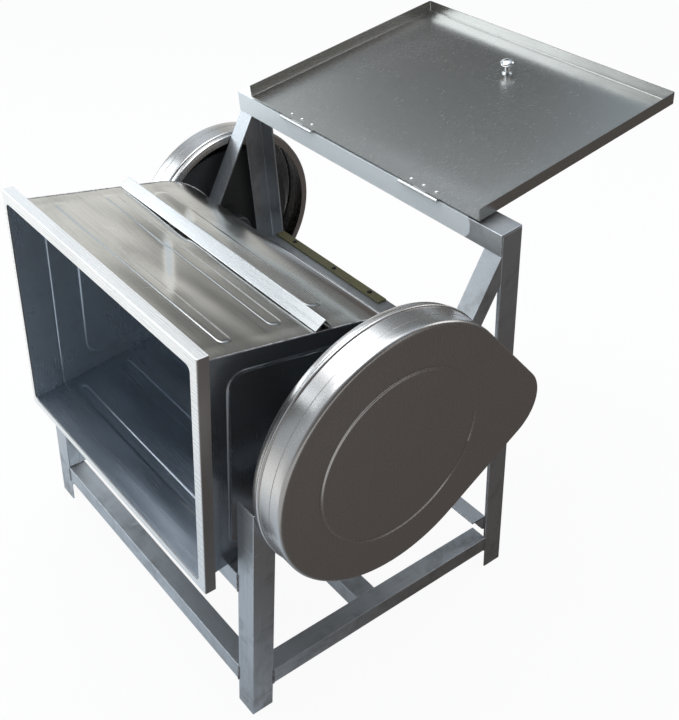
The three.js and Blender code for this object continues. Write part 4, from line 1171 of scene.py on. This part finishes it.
def build_stand_welds():
    """Beads where the bars meet the legs, on the faces that show."""
    lines = []
    inner = SIDE - LEG
    for bar in ("front_stretcher", "trough_stop_bar"):
        bottom, top = low(bar).z, high(bar).z
        for sign in (1, -1):
            lines.append([(sign * inner, FRONT, bottom + 2 * MM), (sign * inner, FRONT, top - 2 * MM)])
            lines.append([(sign * inner, FRONT + IRON, top), (sign * inner, FRONT + LEG - 8 * MM, top)])
    for name in ("stretcher", "shaft_rail"):
        for side, sign in SIDES:
            bottom, top = low(f"{side}_{name}").z, high(f"{side}_{name}").z
            start, end = low(f"{side}_{name}").y, high(f"{side}_{name}").y
            lean_back = (top - bottom) * math.tan(LEAN)
            lines.append([(sign * SIDE, start, bottom + 2 * MM), (sign * SIDE, start, top - 2 * MM)])
            foot = (sign * SIDE, end + lean_back * 0.05, bottom + 2 * MM)
            lines.append([(sign * SIDE, end, top - 2 * MM), foot])
            lines.append([(sign * (SIDE - 3 * MM), start, top), (sign * (inner + 6 * MM), start, top)])
    for bar in ("rear_stretcher", "rear_support_bar"):
        back, top, bottom = high(bar).y, high(bar).z, low(bar).z
        for sign in (1, -1):
            lines.append([(sign * inner, back, bottom + 2 * MM), (sign * inner, back, top - 2 * MM)])
    for side, sign in SIDES:
        foot = low(f"{side}_brace")
        lines.append([(sign * SIDE, foot.y + reach, foot.z) for reach in (2 * MM, 32 * MM)])
    weld("stand_welds", lines, 2.1 * MM, "stand", 23)


# ---------- lid ----------
def in_lid(x, along, up):
    """Points of the lid given from its hinge pins, along it and up from its sheet."""
    y = HINGE_PIN.y + along * math.cos(LID_TILT) - up * math.sin(LID_TILT)
    z = HINGE_PIN.z + along * math.sin(LID_TILT) + up * math.cos(LID_TILT)
    return np.stack(np.broadcast_arrays(x, y, z), axis=-1)


LID_HALF = 287.5 * MM
LID_LENGTH = (3.4 * MM, 450 * MM)
LID_UNDER = 2 * MM
LID_SHEET = 1.2 * MM
LID_RIM = 22.2 * MM  # from the underside to the rims' tops
LID_FOLD = 1.8 * MM
LID_LAP = 15 * MM  # of the far rim's flange, laid on the floor


def folded_edge(rise, run, flat=()):
    """(in, up) from the outside and the underside, along a sheet down a rim, round its fold and in."""
    turn = np.radians(np.linspace(180, 270, 6))
    points = [(0.0, rise), (0.0, rise * 0.5)]
    points += [(LID_FOLD + LID_FOLD * math.cos(a), LID_FOLD + LID_FOLD * math.sin(a)) for a in turn]
    return np.array(points + [(f, 0.0) for f in flat] + [(run, 0.0)])


def build_tray():
    """A floor with its two sides folded up, and a far rim on a flange lapped over the floor."""
    edge = folded_edge(LID_RIM, 40 * MM, (8 * MM, 22 * MM))
    middle = np.linspace(-LID_HALF + 40 * MM, LID_HALF - 40 * MM, 24)[1:-1]
    across = np.concatenate([edge[:, 0] - LID_HALF, middle, LID_HALF - edge[::-1, 0]])
    rise = np.concatenate([edge[:, 1], np.zeros(len(middle)), edge[::-1, 1]])
    along = np.linspace(LID_LENGTH[0], LID_LENGTH[1] - LID_SHEET, 34)[:, None]
    from_far = smoothstep((LID_LENGTH[1] - along) / (80 * MM))
    from_near = smoothstep((along - LID_LENGTH[0]) / (60 * MM))
    lie = smoothstep((LID_HALF - np.abs(across)) / (60 * MM)) * from_far
    sag = lie * (0.5 + 0.5 * np.sin(across * 9.0 + along * 4.0)) * from_near
    floor = in_lid(across + 0 * along, along + 0 * across, LID_UNDER + rise + 0.8 * MM * sag)
    floor_sheet = sheet_from("lid_tray_floor", floor)
    face_outwards(floor_sheet, (0, 0, -1))
    thicken(floor_sheet, LID_SHEET)
    bake_modifiers(floor_sheet)
    smooth_shaded(floor_sheet.data)
    settle(floor_sheet, "lid_sheet", "lid", "lid_sheet", "lid_tray")

    rim = folded_edge(LID_RIM - LID_SHEET, LID_LAP)
    inner = LID_HALF - LID_SHEET - 0.2 * MM
    x = np.linspace(-inner, inner, 40)
    back = np.broadcast_to((LID_LENGTH[1] - rim[:, 0])[:, None], (len(rim), len(x)))
    lift = np.broadcast_to((LID_UNDER + LID_SHEET + rim[:, 1])[:, None], back.shape)
    wave = 0.5 * MM * np.sin(x * 21.0) * (rim[:, 1] > 10 * MM)[:, None]
    bent = in_lid(np.broadcast_to(x, back.shape), back - np.abs(wave), lift)
    flange = sheet_from("lid_tray_far_rim", bent)
    face_outwards(flange, (0, 1, 0))
    thicken(flange, LID_SHEET * 0.8)
    bake_modifiers(flange)
    smooth_shaded(flange.data)
    settle(flange, "lid_sheet", "lid", "lid_sheet")


LID_FLOOR = 3.2 * MM  # from the pins to the tray's inner face
HINGES = (-150 * MM, 158 * MM)
KNOB_OUTLINE = [  # radius and height, in millimetres
    (8.6, 0), (9, 0.5), (9, 1.4), (7.2, 2.2), (5.5, 3.2), (4.5, 5), (4.0, 8), (3.9, 11), (4.4, 13.5),
    (6, 15.3), (9.2, 16.4), (11.6, 17.9), (12.4, 19.7), (12, 21.6), (10.4, 23.3),
    (7.8, 24.7), (4.4, 25.7), (0.6, 26),
]


def build_lid():
    build_tray()
    up = Vector((0, -math.sin(LID_TILT), math.cos(LID_TILT)))
    for side, x in zip(("left", "right"), HINGES):
        rounded_copy(f"hinge_lid_leaf_{side}", "bright_steel", "machined_steel", 0.25 * MM)
        rounded_copy(f"hinge_frame_leaf_{side}", "bright_steel", "machined_steel", 0.25 * MM)
        points = [in_lid(x + offset, 14 * MM, LID_FLOOR) for offset in (-28 * MM, 0.0, 28 * MM)]
        fasteners(f"hinge_screws_{side}", points, up, 3.4 * MM, 1.9 * MM, "lid", seed=7)
    build_knob(up)


def build_knob(up):
    knob_low, knob_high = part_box("lid_knob")
    middle = (knob_low + knob_high) / 2
    along = (middle.y - HINGE_PIN.y) * math.cos(LID_TILT) + (middle.z - HINGE_PIN.z) * math.sin(LID_TILT)
    base = Vector(in_lid(middle.x, along, LID_FLOOR + 0.3 * MM))
    across = Vector((1, 0, 0))
    onward = up.cross(across)
    sides = 48
    rows = []
    for radius, height in KNOB_OUTLINE:
        ring = []
        for i in range(sides):
            a = math.tau * i / sides
            ring.append(base + MM * (radius * (math.cos(a) * across + math.sin(a) * onward) + height * up))
        rows.append([tuple(p) for p in ring])
    crown = base + MM * KNOB_OUTLINE[-1][1] * up
    piece = sheet_from("lid_knob_turned", np.array(rows), ring=True, pole=crown)
    face_outwards(piece, up)
    smooth_shaded(piece.data, 30)
    settle(piece, "chrome", "lid", "knob_chrome", "lid_knob")


# ---------- drive ----------
KEPT_AS_THEY_ARE = {
    "bright_steel": (
        "mixing_shaft", "countershaft", "motor_shaft", "hinge_pin_left", "hinge_pin_right", "pinion",
    ),
    "cast_iron": ("large_gear", "big_pulley", "motor_pulley"),
    "rubber": ("drive_belt_1", "drive_belt_2"),
    "fan_plastic": ("motor_fan",),
}


def build_drive():
    for side, _ in SIDES:
        for bearing in ("mixing_shaft_bearing", "countershaft_bearing"):
            node = f"{bearing}_{side}"
            rounded_copy(node, "cast_iron", "cast_iron", 1.6 * MM, 2)
            lowest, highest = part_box(node)
            middle = (lowest + highest) / 2
            reach = (highest.y - lowest.y) / 2 - 10 * MM
            foot_top = lowest.z + 11 * MM
            bolts = [(middle.x, middle.y + reach, foot_top), (middle.x, middle.y - reach, foot_top)]
            hexagons(f"{node}_bolts", bolts, (0, 0, 1), 6 * MM, 6.5 * MM, "stand")
    for i in (1, 2, 3, 4):
        rounded_copy(f"paddle_{i}", "bright_steel", "machined_steel", 0.9 * MM)
    for material, nodes in KEPT_AS_THEY_ARE.items():
        for node in nodes:
            mesh = frame["nodes"][node].data
            mesh.materials.clear()
            mesh.materials.append(LOOK[material])


def build_motor():
    rounded_copy("motor_body", "motor_paint", "motor_paint", 1.2 * MM)
    rounded_copy("motor_fan_cover", "motor_paint", "motor_paint", 0.5 * MM)
    rounded_copy("terminal_box", "motor_paint", "motor_paint", 1.5 * MM, 3)
    rounded_copy("motor_plate", "iron_lengthwise", "angle_steel", 0.8 * MM)
    plate_top = high("motor_plate").z
    foot_top = plate_top + 7.3 * MM
    bolts = [(x, MOTOR.y + y, foot_top) for x in (-0.185, -0.085) for y in (-0.053, 0.053)]
    hexagons("motor_bolts", bolts, (0, 0, 1), 5 * MM, 5.5 * MM, "stand")
    box_low, box_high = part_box("terminal_box")
    across = (box_low.x + 8 * MM, -0.095 - 8 * MM)
    along = (box_low.y + 8 * MM, box_high.y - 8 * MM)
    corners = [(x, y, box_high.z) for x in across for y in along]
    fasteners("terminal_box_screws", corners, (0, 0, 1), 2.6 * MM, 1.6 * MM, "stand")


build_camera()
build_studio()
build_lights()
build_floor()
build_trough()
build_covers()
build_stand()
build_stand_welds()
build_lid()
build_drive()
build_motor()
for pattern in (DOME, HEXAGON):
    bpy.data.objects.remove(pattern)
bpy.context.scene.view_settings.view_transform = "Standard"
